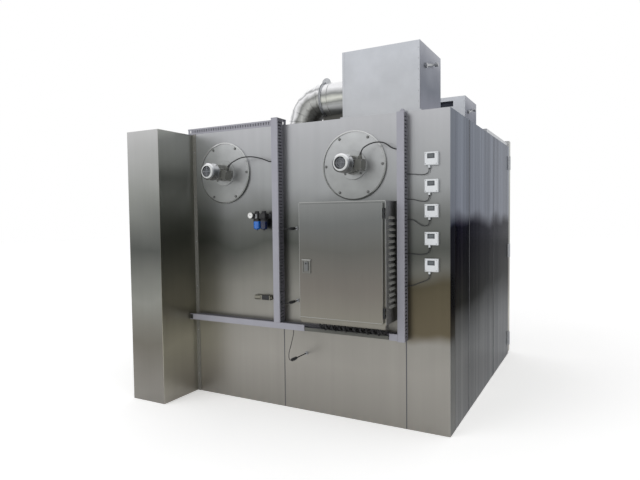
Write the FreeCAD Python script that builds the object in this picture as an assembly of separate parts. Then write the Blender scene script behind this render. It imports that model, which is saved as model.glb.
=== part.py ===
import FreeCAD, Part
import math
import os

Vec = FreeCAD.Vector

# Hot air circulation oven, all lengths in millimetres.
# The origin is the middle of the insulated body's footprint on the floor.
# X runs to the right along the front face, Y runs back into the oven and Z runs up.

# Insulated body
body_width = 2200.0
body_depth = 2500.0
body_height = 2200.0
wall_thickness = 120.0
roof_thickness = 100.0
floor_thickness = 80.0
seam_gap = 2.0
sheet_round = 4.0
front_seam_one = 0.406 * body_width
front_seam_two = 0.8604 * body_width
side_seam_one = 550.0
side_panel_width = 1000.0
side_seam_two = side_seam_one + side_panel_width
corner_strip_width = 35.0
corner_strip_thickness = 3.0

# Side air housing, beside the left wall and proud of the front
housing_width = 342.0
housing_reach = 402.0
housing_drop = 5.0
housing_height = body_height - housing_drop

# Rear doors and their frame
door_thickness = 100.0
door_rise = 64.0
door_floor_gap = 20.0
rear_frame_thickness = 100.0
doorway_jamb = 160.0
doorway_head = 180.0
rear_hinge_radius = 15.0
rear_hinge_length = 140.0
rear_hinge_inset = 170.0
rear_hinge_leaf = 60.0
rear_hinge_leaf_thickness = 4.0
rear_hinge_offset = 3.0
pull_length = 320.0
pull_width = 22.0
pull_standoff = 55.0
pull_foot_inset = 30.0
pull_level = 1050.0
pull_from_middle = 90.0

# Circulation fans on the front face
fan_centres = (0.1555 * body_width, 0.685 * body_width)
fan_drop = 343.0
fan_level = body_height - fan_drop
plate_radius = 248.0
plate_thickness = 12.0
plate_rim_width = 6.0
plate_rim_height = 4.0
motor_flange_radius = 103.0
motor_flange_thickness = 12.0
motor_body_radius = 55.0
motor_fin_radius = 63.0
motor_fin_count = 22
motor_fin_thickness = 3.5
motor_fin_end = 12.0
motor_body_length = 134.0
cowl_radius = 65.0
cowl_length = 78.0
cowl_wall = 2.5
cowl_grille_radius = 46.0
cowl_nose = 16.0
cowl_back_share = 0.45
grille_ring_count = 2
grille_ring_pitch = 14.0
grille_ring_width = 5.0
terminal_box_width = 74.0
terminal_box_depth = 80.0
terminal_box_height = 42.0
terminal_box_turns = (106.0, 95.0)
terminal_box_setback = 34.0
terminal_box_clearance = 0.3
terminal_lid_thickness = 8.0
terminal_lid_lap = 3.0
terminal_corner_radius = 6.0
motor_gland_width = 22.0
motor_gland_length = 12.0
gland_elbow_radius = 12.5
gland_elbow_length = 20.0
gland_elbow_turns = (42.0, 12.0)

# Slotted cable trunking
trunk_wall = 2.5
trunk_depth = 80.0
slot_pitch = 25.0
slot_width = 9.0
slot_base = 14.0
cover_lip = 10.0
cover_thickness = 2.5
left_trunk_lead = 41.0
left_trunk_side = front_seam_one - left_trunk_lead
left_trunk_width = 49.0
right_trunk_lead = 33.0
right_trunk_side = front_seam_two - right_trunk_lead
right_trunk_width = 45.0
right_trunk_foot = 630.0
right_trunk_drop = 10.0
right_trunk_top = body_height - right_trunk_drop
bottom_trunk_level = 638.0
bottom_trunk_height = 40.0
bottom_cover_overlap = 219.0
top_trunk_start = -50.0
top_trunk_width = 50.0
top_trunk_height = 48.0
end_cover_length = 60.0
trunk_clearance = 0.3
trunk_joint = 4.0

# Electrical cabinet on the front face
cabinet_seam_gap = 277.0
cabinet_side = front_seam_one + cabinet_seam_gap
cabinet_trunk_gap = 30.0
cabinet_width = right_trunk_side - cabinet_trunk_gap - cabinet_side
cabinet_level = 765.0
cabinet_fan_gap = 14.0
cabinet_height = fan_level - plate_radius - cabinet_fan_gap - cabinet_level
cabinet_depth = 220.0
cabinet_sheet = 2.5
cabinet_rim = 24.0
cabinet_door_margin = 14.0
cabinet_door_thickness = 20.0
cabinet_door_gap = 5.0
cabinet_door_sheet = 2.0
hinge_radius = 6.0
hinge_pin_radius = 3.0
hinge_pin_clearance = 0.3
hinge_offset = 9.0
hinge_knuckle = 22.0
hinge_inset = 70.0
hinge_slack = 0.4
hinge_leaf_thickness = 3.0
hinge_axis_setback = 2.0
door_corner_radius = 3.0
backplate_margin = 35.0
backplate_thickness = 3.0
backplate_standoff = 12.0
backplate_stud_inset = 20.0
backplate_stud_width = 10.0
lock_width = 66.0
lock_height = 96.0
lock_thickness = 6.0
lock_recess = 4.0
lock_border = 8.0
lock_inset = 26.0
lock_rise = 377.0
lock_corner_radius = 5.0
louvre_margin = 90.0
louvre_pitch = 40.0
louvre_length = 120.0
louvre_height = 18.0
louvre_depth = 9.0
cabinet_gland_width = 24.0
cabinet_gland_length = 26.0
cabinet_gland_count = 6
cabinet_gland_first = 130.0
cabinet_gland_last = 110.0
cabinet_gland_setback = 96.0

# Temperature transmitters beside the right trunking
transmitter_seam_gap = 185.0
transmitter_centre = front_seam_two + transmitter_seam_gap
transmitter_drops = (329.0, 510.0, 676.0, 862.0, 1041.0)
transmitter_width = 90.0
transmitter_height = 88.0
transmitter_depth = 32.0
transmitter_chamfer = 4.0
window_width = 46.0
window_height = 30.0
window_rise = 16.0
window_sink = 1.5
transmitter_gland_width = 15.0
transmitter_gland_length = 16.0
transmitter_gland_shift = -16.0

# Compressed air set and the small valve below it
air_set_trunk_gap = 68.0
air_set_drop = 700.0
air_set_level = body_height - air_set_drop
air_set_body = 60.0
air_set_gap = 4.0
air_set_side = left_trunk_side - air_set_trunk_gap - 2 * air_set_body - air_set_gap
air_set_standoff = 25.0
air_set_round = 5.0
air_set_plate_thickness = 4.0
air_set_plate_height = 36.0
air_set_arm_width = 26.0
air_set_arm_height = 20.0
bowl_radius = 28.0
bowl_length = 72.0
bowl_chamfer = 10.0
gauge_radius = 24.0
gauge_depth = 20.0
gauge_rise = 7.0
knob_radius = 17.0
knob_height = 12.0
valve_trunk_gap = 67.0
valve_level = 856.0
valve_width = 90.0
valve_height = 36.0
valve_depth = 34.0
valve_coil_radius = 19.0
valve_coil_length = 55.0

# Exhaust boxes, round duct and cable run on the roof
box_width = 578.0
box_depth = 515.0
box_height = 475.0
box_sheet_round = 3.0
box_foot_width = 14.0
box_foot_height = 10.0
front_box_inset = 212.0
front_box_side = body_width - front_box_inset - box_width
front_box_setback = 20.0
rear_box_inset = 334.0
rear_box_side = body_width - rear_box_inset - box_width
rear_box_gap = 17.0
rear_box_setback = body_depth - door_thickness - rear_box_gap - box_depth
intake_width = 150.0
intake_height = 55.0
intake_drop = 40.0
intake_side = 309.0
intake_sink = 40.0
pipe_radius = 125.0
pipe_rise = 213.0
elbow_radius = 195.0
elbow_box_gap = 465.0
elbow_centre = front_box_side - elbow_box_gap
elbow_segments = 5
ring_radius = 167.0
ring_thickness = 6.0
ring_gap = 4.0
roof_collar_thickness = 6.0
roof_collar_lap = 25.0
damper_level = 334.0
damper_setback = 130.0
damper_boss_radius = 18.0
damper_boss_length = 12.0
damper_lever_length = 200.0
damper_lever_tilt = 14.0
damper_lever_width = 16.0
damper_lever_thickness = 5.0
damper_lever_tail = 20.0
damper_knob_radius = 15.0
damper_knob_length = 22.0
roof_run_inset = 15.0
roof_run_width = 65.0
roof_run_height = 40.0
roof_run_length = 1110.0

# Wall probes: place along the front, level and reach of each
probe_seam_gap = 128.0
probe_x = front_seam_one + probe_seam_gap
low_probe_shift = 71.0
low_probe_level = 447.0
probe_places = (
    (probe_x, cabinet_level + 0.771 * cabinet_height, 101.0),
    (probe_x, cabinet_level + 0.101 * cabinet_height, 113.0),
    (probe_x + low_probe_shift, low_probe_level, 215.0),
)
probe_head_radius = 11.0
probe_head_length = 60.0
probe_stem_radius = 4.0
probe_nut_width = 24.0
probe_nut_length = 10.0

# Cables
motor_cable_diameter = 9.0
transmitter_cable_diameter = 5.0
probe_cable_diameter = 5.0
cabinet_cable_diameter = 13.0
cabinet_cable_reach = 80.0
trunk_entry = -50.0
cable_sides = 8
motor_cable_start = 36.0

# Places that follow from the sizes above
left = -body_width / 2
front = -body_depth / 2
rear_door_front = body_depth - door_thickness
rear_frame_front = rear_door_front - rear_frame_thickness
pieces = {}


def point(x, y, z):
    """A point given from the body's left edge, its front face and the floor."""
    return Vec(left + x, front + y, z)


def block(xs, ys, zs):
    """Upright block between two limits along each axis."""
    return Part.makeBox(xs[1] - xs[0], ys[1] - ys[0], zs[1] - zs[0], point(xs[0], ys[0], zs[0]))


def bar(start, direction, radius, length):
    """Round bar from a point along a direction."""
    return Part.makeCylinder(radius, length, start, direction)


def prism(start, direction, width, length, sides=6):
    """Bar with flat sides, as a nut or a moulded gland: width is across its corners."""
    return Part.Face(polygon(start, direction, width / 2, sides)).extrude(Vec(direction) * length)


def polygon(centre, direction, radius, sides):
    """Regular outline across a direction."""
    ahead = Vec(direction).normalize()
    across = ahead.cross(Vec(0, 0, 1) if abs(ahead.z) < 0.9 else Vec(0, 1, 0)).normalize()
    up = ahead.cross(across)
    corners = []
    for index in range(sides + 1):
        turn = 2 * math.pi * (index % sides) / sides
        corners.append(centre + across * (radius * math.cos(turn)) + up * (radius * math.sin(turn)))
    return Part.makePolygon(corners)


def on_plane(edge, axis, value):
    """True where the whole edge lies at one coordinate."""
    return all(abs(getattr(v.Point, axis) - value) < 0.01 for v in edge.Vertexes)


def along(edge, axis):
    """True for a straight edge parallel to an axis."""
    if len(edge.Vertexes) < 2:
        return False
    step = edge.Vertexes[1].Point - edge.Vertexes[0].Point
    return abs(abs(getattr(step, axis)) - step.Length) < 0.01


def soften(solid, radius, chosen):
    """Fillet the edges that a test picks out."""
    return solid.makeFillet(radius, [e for e in solid.Edges if chosen(e)])


def fuse(solids):
    """One solid from pieces that are welded or moulded together."""
    return solids[0].multiFuse(solids[1:]).removeSplitter()


def keep(name, solids):
    """Note the solids of one named piece."""
    pieces[name] = solids


# Body panels
def front_panels():
    """Three upright front panels with rounded sheet edges at the seams."""
    panels = []
    for run in split_run((0.0, front_seam_one, front_seam_two, body_width)):
        panel = block(run, (0, wall_thickness), (0, body_height))
        edge = lambda e: along(e, "z") and on_plane(e, "y", front)
        panels.append(soften(panel, sheet_round, edge))
    keep("front_panels", panels)


def split_run(limits):
    """Start and end of each panel of a run, with an open seam between neighbours."""
    runs = []
    for index in range(len(limits) - 1):
        first = limits[index] + (seam_gap / 2 if index > 0 else 0.0)
        last = limits[index + 1] - (seam_gap / 2 if index < len(limits) - 2 else 0.0)
        runs.append((first, last))
    return runs


def side_panels():
    """Right wall in three panels, plain left wall behind the air housing, floor and roof."""
    runs = split_run((wall_thickness, side_seam_one, side_seam_two, rear_frame_front))
    right = body_width
    panels = []
    for run in runs:
        panel = block((right - wall_thickness, right), run, (0, body_height))
        edge = lambda e: along(e, "z") and on_plane(e, "x", left + right)
        panels.append(soften(panel, sheet_round, edge))
    keep("side_panels_right", panels)
    keep("chamber_wall_left", [block((0, wall_thickness), (wall_thickness, rear_frame_front), (0, body_height))])
    inner = (wall_thickness, body_width - wall_thickness)
    keep("oven_floor", [block(inner, (wall_thickness, rear_frame_front), (0, floor_thickness))])
    keep("roof_panels", [block(inner, run, (body_height - roof_thickness, body_height)) for run in runs])


def corner_strip():
    """Cover strip over the joint between the front panel and the side housing."""
    strip = block((0, corner_strip_width), (-corner_strip_thickness, 0), (0, body_height))
    keep("corner_cover_strip", [strip])


def side_housing():
    """Closed casing of the side air duct, standing proud of the front."""
    front_part = block((-housing_width, 0), (-housing_reach, 0), (0, housing_height))
    edge = lambda e: along(e, "z") and on_plane(e, "y", front - housing_reach)
    keep("side_housing_front", [soften(front_part, sheet_round, edge)])
    panels = []
    for run in split_run((0.0, side_seam_one, side_seam_two, rear_frame_front)):
        panel = block((-housing_width, 0), run, (0, housing_height))
        edge = lambda e: along(e, "z") and on_plane(e, "x", left - housing_width)
        panels.append(soften(panel, sheet_round, edge))
    keep("side_housing_panels", panels)


# Rear doors
def rear_doors():
    """Two closed door leaves on a frame, with hinges and pull handles."""
    span = (rear_frame_front, rear_door_front)
    inner = (doorway_jamb, body_width - doorway_jamb)
    keep("rear_door_frame", [
        block((0, doorway_jamb), span, (0, body_height)),
        block((body_width - doorway_jamb, body_width), span, (0, body_height)),
        block(inner, span, (0, floor_thickness)),
        block(inner, span, (body_height - doorway_head, body_height)),
    ])
    middle = body_width / 2
    leaves = []
    for x0, x1 in ((0.0, middle - seam_gap), (middle + seam_gap, body_width)):
        leaf = block((x0, x1), (rear_door_front, body_depth), (door_floor_gap, body_height + door_rise))
        edge = lambda e: on_plane(e, "y", front + body_depth)
        leaves.append(soften(leaf, sheet_round, edge))
    keep("rear_doors", leaves)
    rear_hinges()
    rear_pulls(middle)


def rear_hinges():
    """Barrel hinges on the outer edges of the rear doors."""
    hinges = []
    for edge_x, way in ((0.0, -1), (body_width, 1)):
        middle = (door_floor_gap + body_height) / 2
        for level in (rear_hinge_inset, middle, body_height - rear_hinge_inset):
            low = level - rear_hinge_length / 2
            high = level + rear_hinge_length / 2
            barrel = bar(point(edge_x + way * rear_hinge_offset, rear_door_front, low), Vec(0, 0, 1),
                         rear_hinge_radius, rear_hinge_length)
            xs = sorted((edge_x, edge_x + way * rear_hinge_leaf_thickness))
            leaf = block(xs, (rear_door_front - rear_hinge_leaf, rear_door_front + rear_hinge_leaf), (low, high))
            shape = fuse([barrel, leaf])
            hinges.append(shape.cut(block((0, body_width), (0, body_depth), (0, body_height + door_rise))))
    keep("rear_door_hinges", hinges)


def rear_pulls(middle):
    """Square bar handles near the meeting edges of the rear doors."""
    pulls = []
    half = pull_width / 2
    low = pull_level - pull_length / 2
    high = pull_level + pull_length / 2
    for side in (-1, 1):
        x = middle + side * pull_from_middle
        xs = (x - half, x + half)
        grip = block(xs, (body_depth + pull_standoff - pull_width, body_depth + pull_standoff), (low, high))
        feet = []
        for z in (low + pull_foot_inset, high - pull_foot_inset):
            feet.append(block(xs, (body_depth, body_depth + pull_standoff - pull_width), (z - half, z + half)))
        pulls.append(fuse([grip] + feet))
    keep("rear_door_pulls", pulls)


# Circulation fans
def fan_plate(centre):
    """Round cover plate with a raised rim."""
    base = point(centre, 0, fan_level)
    plate = bar(base, Vec(0, -1, 0), plate_radius, plate_thickness)
    rim = bar(base, Vec(0, -1, 0), plate_radius, plate_thickness + plate_rim_height)
    inner = bar(base, Vec(0, -1, 0), plate_radius - plate_rim_width, plate_thickness + plate_rim_height)
    return fuse([plate, rim.cut(inner)])


def motor_body(centre):
    """Mounting flange and finned motor frame."""
    y0 = -plate_thickness
    flange = bar(point(centre, y0, fan_level), Vec(0, -1, 0), motor_flange_radius, motor_flange_thickness)
    y1 = y0 - motor_flange_thickness
    core = bar(point(centre, y1, fan_level), Vec(0, -1, 0), motor_body_radius, motor_body_length)
    fins = []
    half = motor_fin_thickness / 2
    for index in range(motor_fin_count // 2):
        fin = Part.makeBox(2 * motor_fin_radius, motor_body_length - 2 * motor_fin_end, motor_fin_thickness,
                           Vec(-motor_fin_radius, motor_fin_end - motor_body_length, -half))
        fin.rotate(Vec(0, 0, 0), Vec(0, 1, 0), (index + 0.5) * 360.0 / motor_fin_count)
        fin.translate(point(centre, y1, fan_level))
        fins.append(fin)
    return fuse([flange, core] + fins)


def motor_cowl(centre):
    """Fan cowl at the motor's free end, dished to a ring grille."""
    y0 = -plate_thickness - motor_flange_thickness - motor_body_length
    outline = [
        Vec(cowl_radius, 0, 0),
        Vec(cowl_radius, 0, cowl_length - cowl_nose),
        Vec(cowl_grille_radius, 0, cowl_length),
        Vec(cowl_grille_radius, 0, cowl_length - cowl_wall * 2),
        Vec(cowl_radius - cowl_wall, 0, cowl_length - cowl_nose - cowl_wall),
        Vec(cowl_radius - cowl_wall, 0, 0),
        Vec(cowl_radius, 0, 0),
    ]
    shell = Part.Face(Part.makePolygon(outline)).revolve(Vec(0, 0, 0), Vec(0, 0, 1), 360)
    parts = [shell]
    z = cowl_length - cowl_wall * 2
    for index in range(grille_ring_count):
        radius = cowl_grille_radius - (index + 1) * grille_ring_pitch
        ring = Part.makeCylinder(radius, cowl_wall, Vec(0, 0, z))
        hole = Part.makeCylinder(radius - grille_ring_width, cowl_wall, Vec(0, 0, z))
        parts.append(ring.cut(hole))
    for index in range(2):
        spoke = Part.makeBox(2 * cowl_grille_radius, grille_ring_width, cowl_wall,
                             Vec(-cowl_grille_radius, -grille_ring_width / 2, z))
        spoke.rotate(Vec(0, 0, 0), Vec(0, 0, 1), index * 90.0)
        parts.append(spoke)
    parts.append(Part.makeCylinder(cowl_radius - cowl_wall, cowl_length * cowl_back_share))
    cowl = fuse(parts)
    cowl.rotate(Vec(0, 0, 0), Vec(1, 0, 0), 90)
    cowl.translate(point(centre, y0, fan_level))
    return cowl


def terminal_box(index):
    """Terminal box on the motor's right side, with its lid and an elbow gland on the upper side."""
    y0 = -plate_thickness - motor_flange_thickness - terminal_box_setback
    lap = terminal_lid_lap
    base = Part.makeBox(terminal_box_width, terminal_box_depth, terminal_box_height,
                        Vec(-terminal_box_width / 2, -terminal_box_depth, motor_fin_radius + terminal_box_clearance))
    lid = Part.makeBox(terminal_box_width + 2 * lap, terminal_box_depth + 2 * lap, terminal_lid_thickness,
                       Vec(-terminal_box_width / 2 - lap, -terminal_box_depth - lap,
                           motor_fin_radius + terminal_box_height))
    lid = soften(lid, terminal_corner_radius, lambda e: along(e, "z"))
    gland_start = Vec(-terminal_box_width / 2, -terminal_box_depth / 2, motor_fin_radius + terminal_box_height / 2)
    gland = prism(gland_start, Vec(-1, 0, 0), motor_gland_width, motor_gland_length)
    box = fuse([base, lid, gland])
    box.rotate(Vec(0, 0, 0), Vec(0, 1, 0), terminal_box_turns[index])
    box.translate(point(fan_centres[index], y0, fan_level))
    bend, out = gland_bend(index)
    corner = bar(bend - Vec(0, gland_elbow_radius, 0), Vec(0, 1, 0), gland_elbow_radius, 2 * gland_elbow_radius)
    spout = prism(bend, out, motor_gland_width, gland_elbow_length)
    return fuse([box, corner, spout])


def gland_bend(index):
    """Middle of the elbow gland on a terminal box, and the direction in which its cable leaves."""
    turn = math.radians(terminal_box_turns[index])
    across = terminal_box_width / 2 + motor_gland_length
    up = motor_fin_radius + terminal_box_height / 2
    x = fan_centres[index] - across * math.cos(turn) + up * math.sin(turn)
    z = fan_level + across * math.sin(turn) + up * math.cos(turn)
    y = -plate_thickness - motor_flange_thickness - terminal_box_setback - terminal_box_depth / 2
    leave = math.radians(gland_elbow_turns[index])
    return point(x, y, z), Vec(math.sin(leave), 0, math.cos(leave))


def fans():
    """Both circulation fans."""
    keep("fan_plates", [fan_plate(c) for c in fan_centres])
    keep("fan_motors", [motor_body(c) for c in fan_centres])
    keep("motor_cowls", [motor_cowl(c) for c in fan_centres])
    keep("terminal_boxes", [terminal_box(index) for index in range(len(fan_centres))])


# Slotted trunking
def comb_wall(length, depth):
    """Slotted side wall lying in the XY plane: X along the run, Y from the base to the cover."""
    count = int((length - slot_pitch) // slot_pitch)
    start = (length - (count - 1) * slot_pitch) / 2
    corners = [Vec(0, 0, 0), Vec(length, 0, 0), Vec(length, depth, 0)]
    for index in reversed(range(count)):
        centre = start + index * slot_pitch
        corners.append(Vec(centre + slot_width / 2, depth, 0))
        corners.append(Vec(centre + slot_width / 2, slot_base, 0))
        corners.append(Vec(centre - slot_width / 2, slot_base, 0))
        corners.append(Vec(centre - slot_width / 2, depth, 0))
    corners += [Vec(0, depth, 0), Vec(0, 0, 0)]
    return Part.Face(Part.makePolygon(corners)).extrude(Vec(0, 0, trunk_wall))


def trunk(length, width, depth):
    """Open channel along X: base in the XZ plane at Y 0, combs on both sides of its width along Z."""
    base = Part.makeBox(length, trunk_wall, width)
    low = comb_wall(length, depth)
    high = comb_wall(length, depth)
    high.translate(Vec(0, 0, width - trunk_wall))
    return fuse([base, low, high])


def cover(length, width, depth):
    """Snap-on cover with short lips, clear of the combs by a hair."""
    clear = trunk_clearance
    face = Part.makeBox(length, cover_thickness, width + 2 * (cover_thickness + clear),
                        Vec(0, depth + clear, -cover_thickness - clear))
    lips = []
    for z in (-cover_thickness - clear, width + clear):
        lips.append(Part.makeBox(length, cover_lip, cover_thickness, Vec(0, depth + clear - cover_lip, z)))
    return fuse([face] + lips)


def stand_up(shape, x, z):
    """Turn a run along X so that it climbs the front face, its open side to the front."""
    shape.rotate(Vec(0, 0, 0), Vec(0, 0, 1), 180)
    shape.rotate(Vec(0, 0, 0), Vec(0, 1, 0), 90)
    shape.translate(point(x, 0, z))
    return shape


def lie_flat(shape, x, z):
    """Keep a run along X and turn its open side to the front."""
    turned = shape.mirror(Vec(0, 0, 0), Vec(0, 1, 0))
    turned.translate(point(x, 0, z))
    return turned


def lay_up(shape, x, y, z):
    """Keep a run along X and turn its open side up."""
    shape.rotate(Vec(0, 0, 0), Vec(1, 0, 0), 90)
    shape.translate(point(x, y, z))
    return shape


def trunking():
    """Four trunking runs and their covers; the run below the cabinet is open for its cables."""
    low = bottom_trunk_level
    foot = low + bottom_trunk_height + trunk_joint
    left_length = body_height + top_trunk_height - foot
    right_length = right_trunk_top - right_trunk_foot
    bottom_start = corner_strip_width + trunk_joint
    bottom_end = right_trunk_side - trunk_joint
    top_length = left_trunk_side + left_trunk_width - top_trunk_start
    lid = cover_thickness + trunk_clearance
    inner = trunk_depth - lid
    upper = top_trunk_height - lid
    width = bottom_trunk_height
    keep("trunking_left", [stand_up(trunk(left_length, left_trunk_width, inner), left_trunk_side, foot)])
    keep("trunking_right", [stand_up(trunk(right_length, right_trunk_width, inner), right_trunk_side, right_trunk_foot)])
    keep("trunking_bottom", [lie_flat(trunk(bottom_end - bottom_start, width, inner), bottom_start, low)])
    keep("trunking_top", [lay_up(trunk(top_length, top_trunk_width, upper), top_trunk_start, top_trunk_width + lid,
                                 body_height)])
    keep("trunking_covers", [
        stand_up(cover(left_length, left_trunk_width, inner), left_trunk_side, foot),
        stand_up(cover(right_length, right_trunk_width, inner), right_trunk_side, right_trunk_foot),
        lie_flat(cover(left_trunk_side + left_trunk_width + bottom_cover_overlap, width, inner), 0, low),
        lie_flat(cover(end_cover_length, width, inner), bottom_end - end_cover_length, low),
        lay_up(cover(top_length, top_trunk_width, upper), top_trunk_start, top_trunk_width + lid, body_height),
    ])


# Electrical cabinet
cabinet_right = cabinet_side + cabinet_width
cabinet_top = cabinet_level + cabinet_height
door_left = cabinet_side + cabinet_door_margin
door_right = cabinet_right - cabinet_door_margin
door_low = cabinet_level + cabinet_door_margin
door_high = cabinet_top - cabinet_door_margin
door_back = -cabinet_depth - cabinet_door_gap
door_front = door_back - cabinet_door_thickness
hinge_x = door_right + hinge_offset
hinge_y = door_front + hinge_axis_setback
louvre_count = int((cabinet_height - 2 * louvre_margin) // louvre_pitch)
lock_level = cabinet_level + lock_rise


def cabinet_shell():
    """Folded steel box with a rim round its mouth."""
    outer = block((cabinet_side, cabinet_right), (-cabinet_depth, 0), (cabinet_level, cabinet_top))
    outer = soften(outer, sheet_round, lambda e: along(e, "y"))
    t = cabinet_sheet
    inner = block((cabinet_side + t, cabinet_right - t), (-cabinet_depth + t, -t), (cabinet_level + t, cabinet_top - t))
    r = cabinet_rim
    mouth = block((cabinet_side + r, cabinet_right - r), (-cabinet_depth, -cabinet_depth + t),
                  (cabinet_level + r, cabinet_top - r))
    return outer.cut(inner).cut(mouth)


def cabinet_door():
    """Shallow tray door, folded on all four sides, with a knuckle at each hinge."""
    t = cabinet_door_sheet
    tray = block((door_left, door_right), (door_front, door_back), (door_low, door_high))
    tray = soften(tray, door_corner_radius, lambda e: on_plane(e, "y", front + door_front))
    hollow = block((door_left + t, door_right - t), (door_front + t, door_back), (door_low + t, door_high - t))
    return tray.cut(hollow)


def hinge_levels():
    """Middle height of each hinge."""
    return (door_low + hinge_inset, door_high - hinge_inset)


def hinge_halves():
    """Fixed hinge halves with their pins, and the door's knuckles with their leaves."""
    fixed = []
    moving = []
    for level in hinge_levels():
        low = level - 1.5 * hinge_knuckle
        axis = Vec(0, 0, 1)
        length = hinge_knuckle - hinge_slack
        parts = [bar(point(hinge_x, hinge_y, low), axis, hinge_pin_radius, 3 * hinge_knuckle)]
        for z0 in (low, low + 2 * hinge_knuckle + hinge_slack):
            parts.append(bar(point(hinge_x, hinge_y, z0), axis, hinge_radius, length))
            parts.append(block((hinge_x, hinge_x + hinge_radius), (hinge_y, -cabinet_depth), (z0, z0 + length)))
        fixed.append(fuse(parts))
        z1 = low + hinge_knuckle + hinge_slack / 2
        knuckle = bar(point(hinge_x, hinge_y, z1), axis, hinge_radius, length)
        leaf = block((door_right, hinge_x), (hinge_y - hinge_leaf_thickness / 2, hinge_y + hinge_leaf_thickness / 2),
                     (z1, z1 + length))
        bore = bar(point(hinge_x, hinge_y, z1), axis, hinge_pin_radius + hinge_pin_clearance, length)
        moving.append(fuse([knuckle, leaf]).cut(bore))
    return fixed, moving


def cabinet_lock():
    """Flush lock plate with a sunk grip."""
    x0 = door_left + lock_inset
    xs = (x0, x0 + lock_width)
    zs = (lock_level - lock_height / 2, lock_level + lock_height / 2)
    plate = block(xs, (door_front - lock_thickness, door_front), zs)
    plate = soften(plate, lock_corner_radius, lambda e: along(e, "y"))
    sunk = block((xs[0] + lock_border, xs[1] - lock_border),
                 (door_front - lock_thickness, door_front - lock_thickness + lock_recess),
                 (zs[0] + lock_border, zs[1] - lock_border))
    return plate.cut(sunk)


def cabinet():
    """Cabinet with its door, lock, hinges, mounting plate, louvres and glands."""
    keep("cabinet_shell", [cabinet_shell()])
    fixed, moving = hinge_halves()
    keep("cabinet_hinges", fixed)
    keep("cabinet_door", [cabinet_door()])
    keep("cabinet_door_knuckles", moving)
    keep("cabinet_lock", [cabinet_lock()])
    m = backplate_margin
    t = cabinet_sheet
    y1 = -t
    plate = block((cabinet_side + m, cabinet_right - m), (y1 - backplate_standoff - backplate_thickness,
                                                           y1 - backplate_standoff),
                  (cabinet_level + m, cabinet_top - m))
    studs = []
    inset = m + backplate_stud_inset
    for x in (cabinet_side + inset, cabinet_right - inset):
        for z in (cabinet_level + inset, cabinet_top - inset):
            studs.append(prism(point(x, y1, z), Vec(0, -1, 0), backplate_stud_width, backplate_standoff))
    keep("cabinet_mounting_plate", [fuse([plate] + studs)])
    louvres = []
    middle = (cabinet_level + cabinet_top) / 2
    for index in range(louvre_count):
        z = middle + (index - (louvre_count - 1) / 2) * louvre_pitch
        louvres.append(louvre(z))
    keep("cabinet_louvres", louvres)
    glands = []
    for index in range(cabinet_gland_count):
        glands.append(prism(cabinet_gland_point(index, 0), Vec(0, 0, -1), cabinet_gland_width, cabinet_gland_length))
    keep("cabinet_glands", glands)


def cabinet_gland_point(index, drop):
    """A point on the axis of one of the glands under the cabinet."""
    pitch = (cabinet_width - cabinet_gland_first - cabinet_gland_last) / (cabinet_gland_count - 1)
    x = cabinet_side + cabinet_gland_first + index * pitch
    return point(x, -cabinet_gland_setback, cabinet_level - drop)


def louvre(z):
    """Pressed louvre hood on the cabinet's right side, open downwards."""
    x = cabinet_right
    outline = [Vec(0, 0, 0), Vec(0, 0, louvre_height), Vec(louvre_depth, 0, 0), Vec(0, 0, 0)]
    hood = Part.Face(Part.makePolygon(outline)).extrude(Vec(0, louvre_length, 0))
    hood.translate(point(x, -cabinet_depth / 2 - louvre_length / 2, z - louvre_height / 2))
    return hood


# Transmitters
def transmitters():
    """Five wall transmitters with a sunk window and a gland below."""
    housings = []
    glands = []
    for drop in transmitter_drops:
        level = body_height - drop
        xs = (transmitter_centre - transmitter_width / 2, transmitter_centre + transmitter_width / 2)
        zs = (level - transmitter_height / 2, level + transmitter_height / 2)
        shape = block(xs, (-transmitter_depth, 0), zs)
        shape = shape.makeChamfer(transmitter_chamfer, [e for e in shape.Edges if on_plane(e, "y", front - transmitter_depth)])
        x0 = transmitter_centre - window_width / 2
        z0 = level + window_rise - window_height / 2
        sunk = block((x0, x0 + window_width), (-transmitter_depth, -transmitter_depth + window_sink),
                     (z0, z0 + window_height))
        housings.append(shape.cut(sunk))
        glands.append(prism(point(transmitter_centre + transmitter_gland_shift, -transmitter_depth / 2, zs[0]),
                            Vec(0, 0, -1), transmitter_gland_width, transmitter_gland_length))
    keep("transmitters", housings)
    keep("transmitter_glands", glands)


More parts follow.
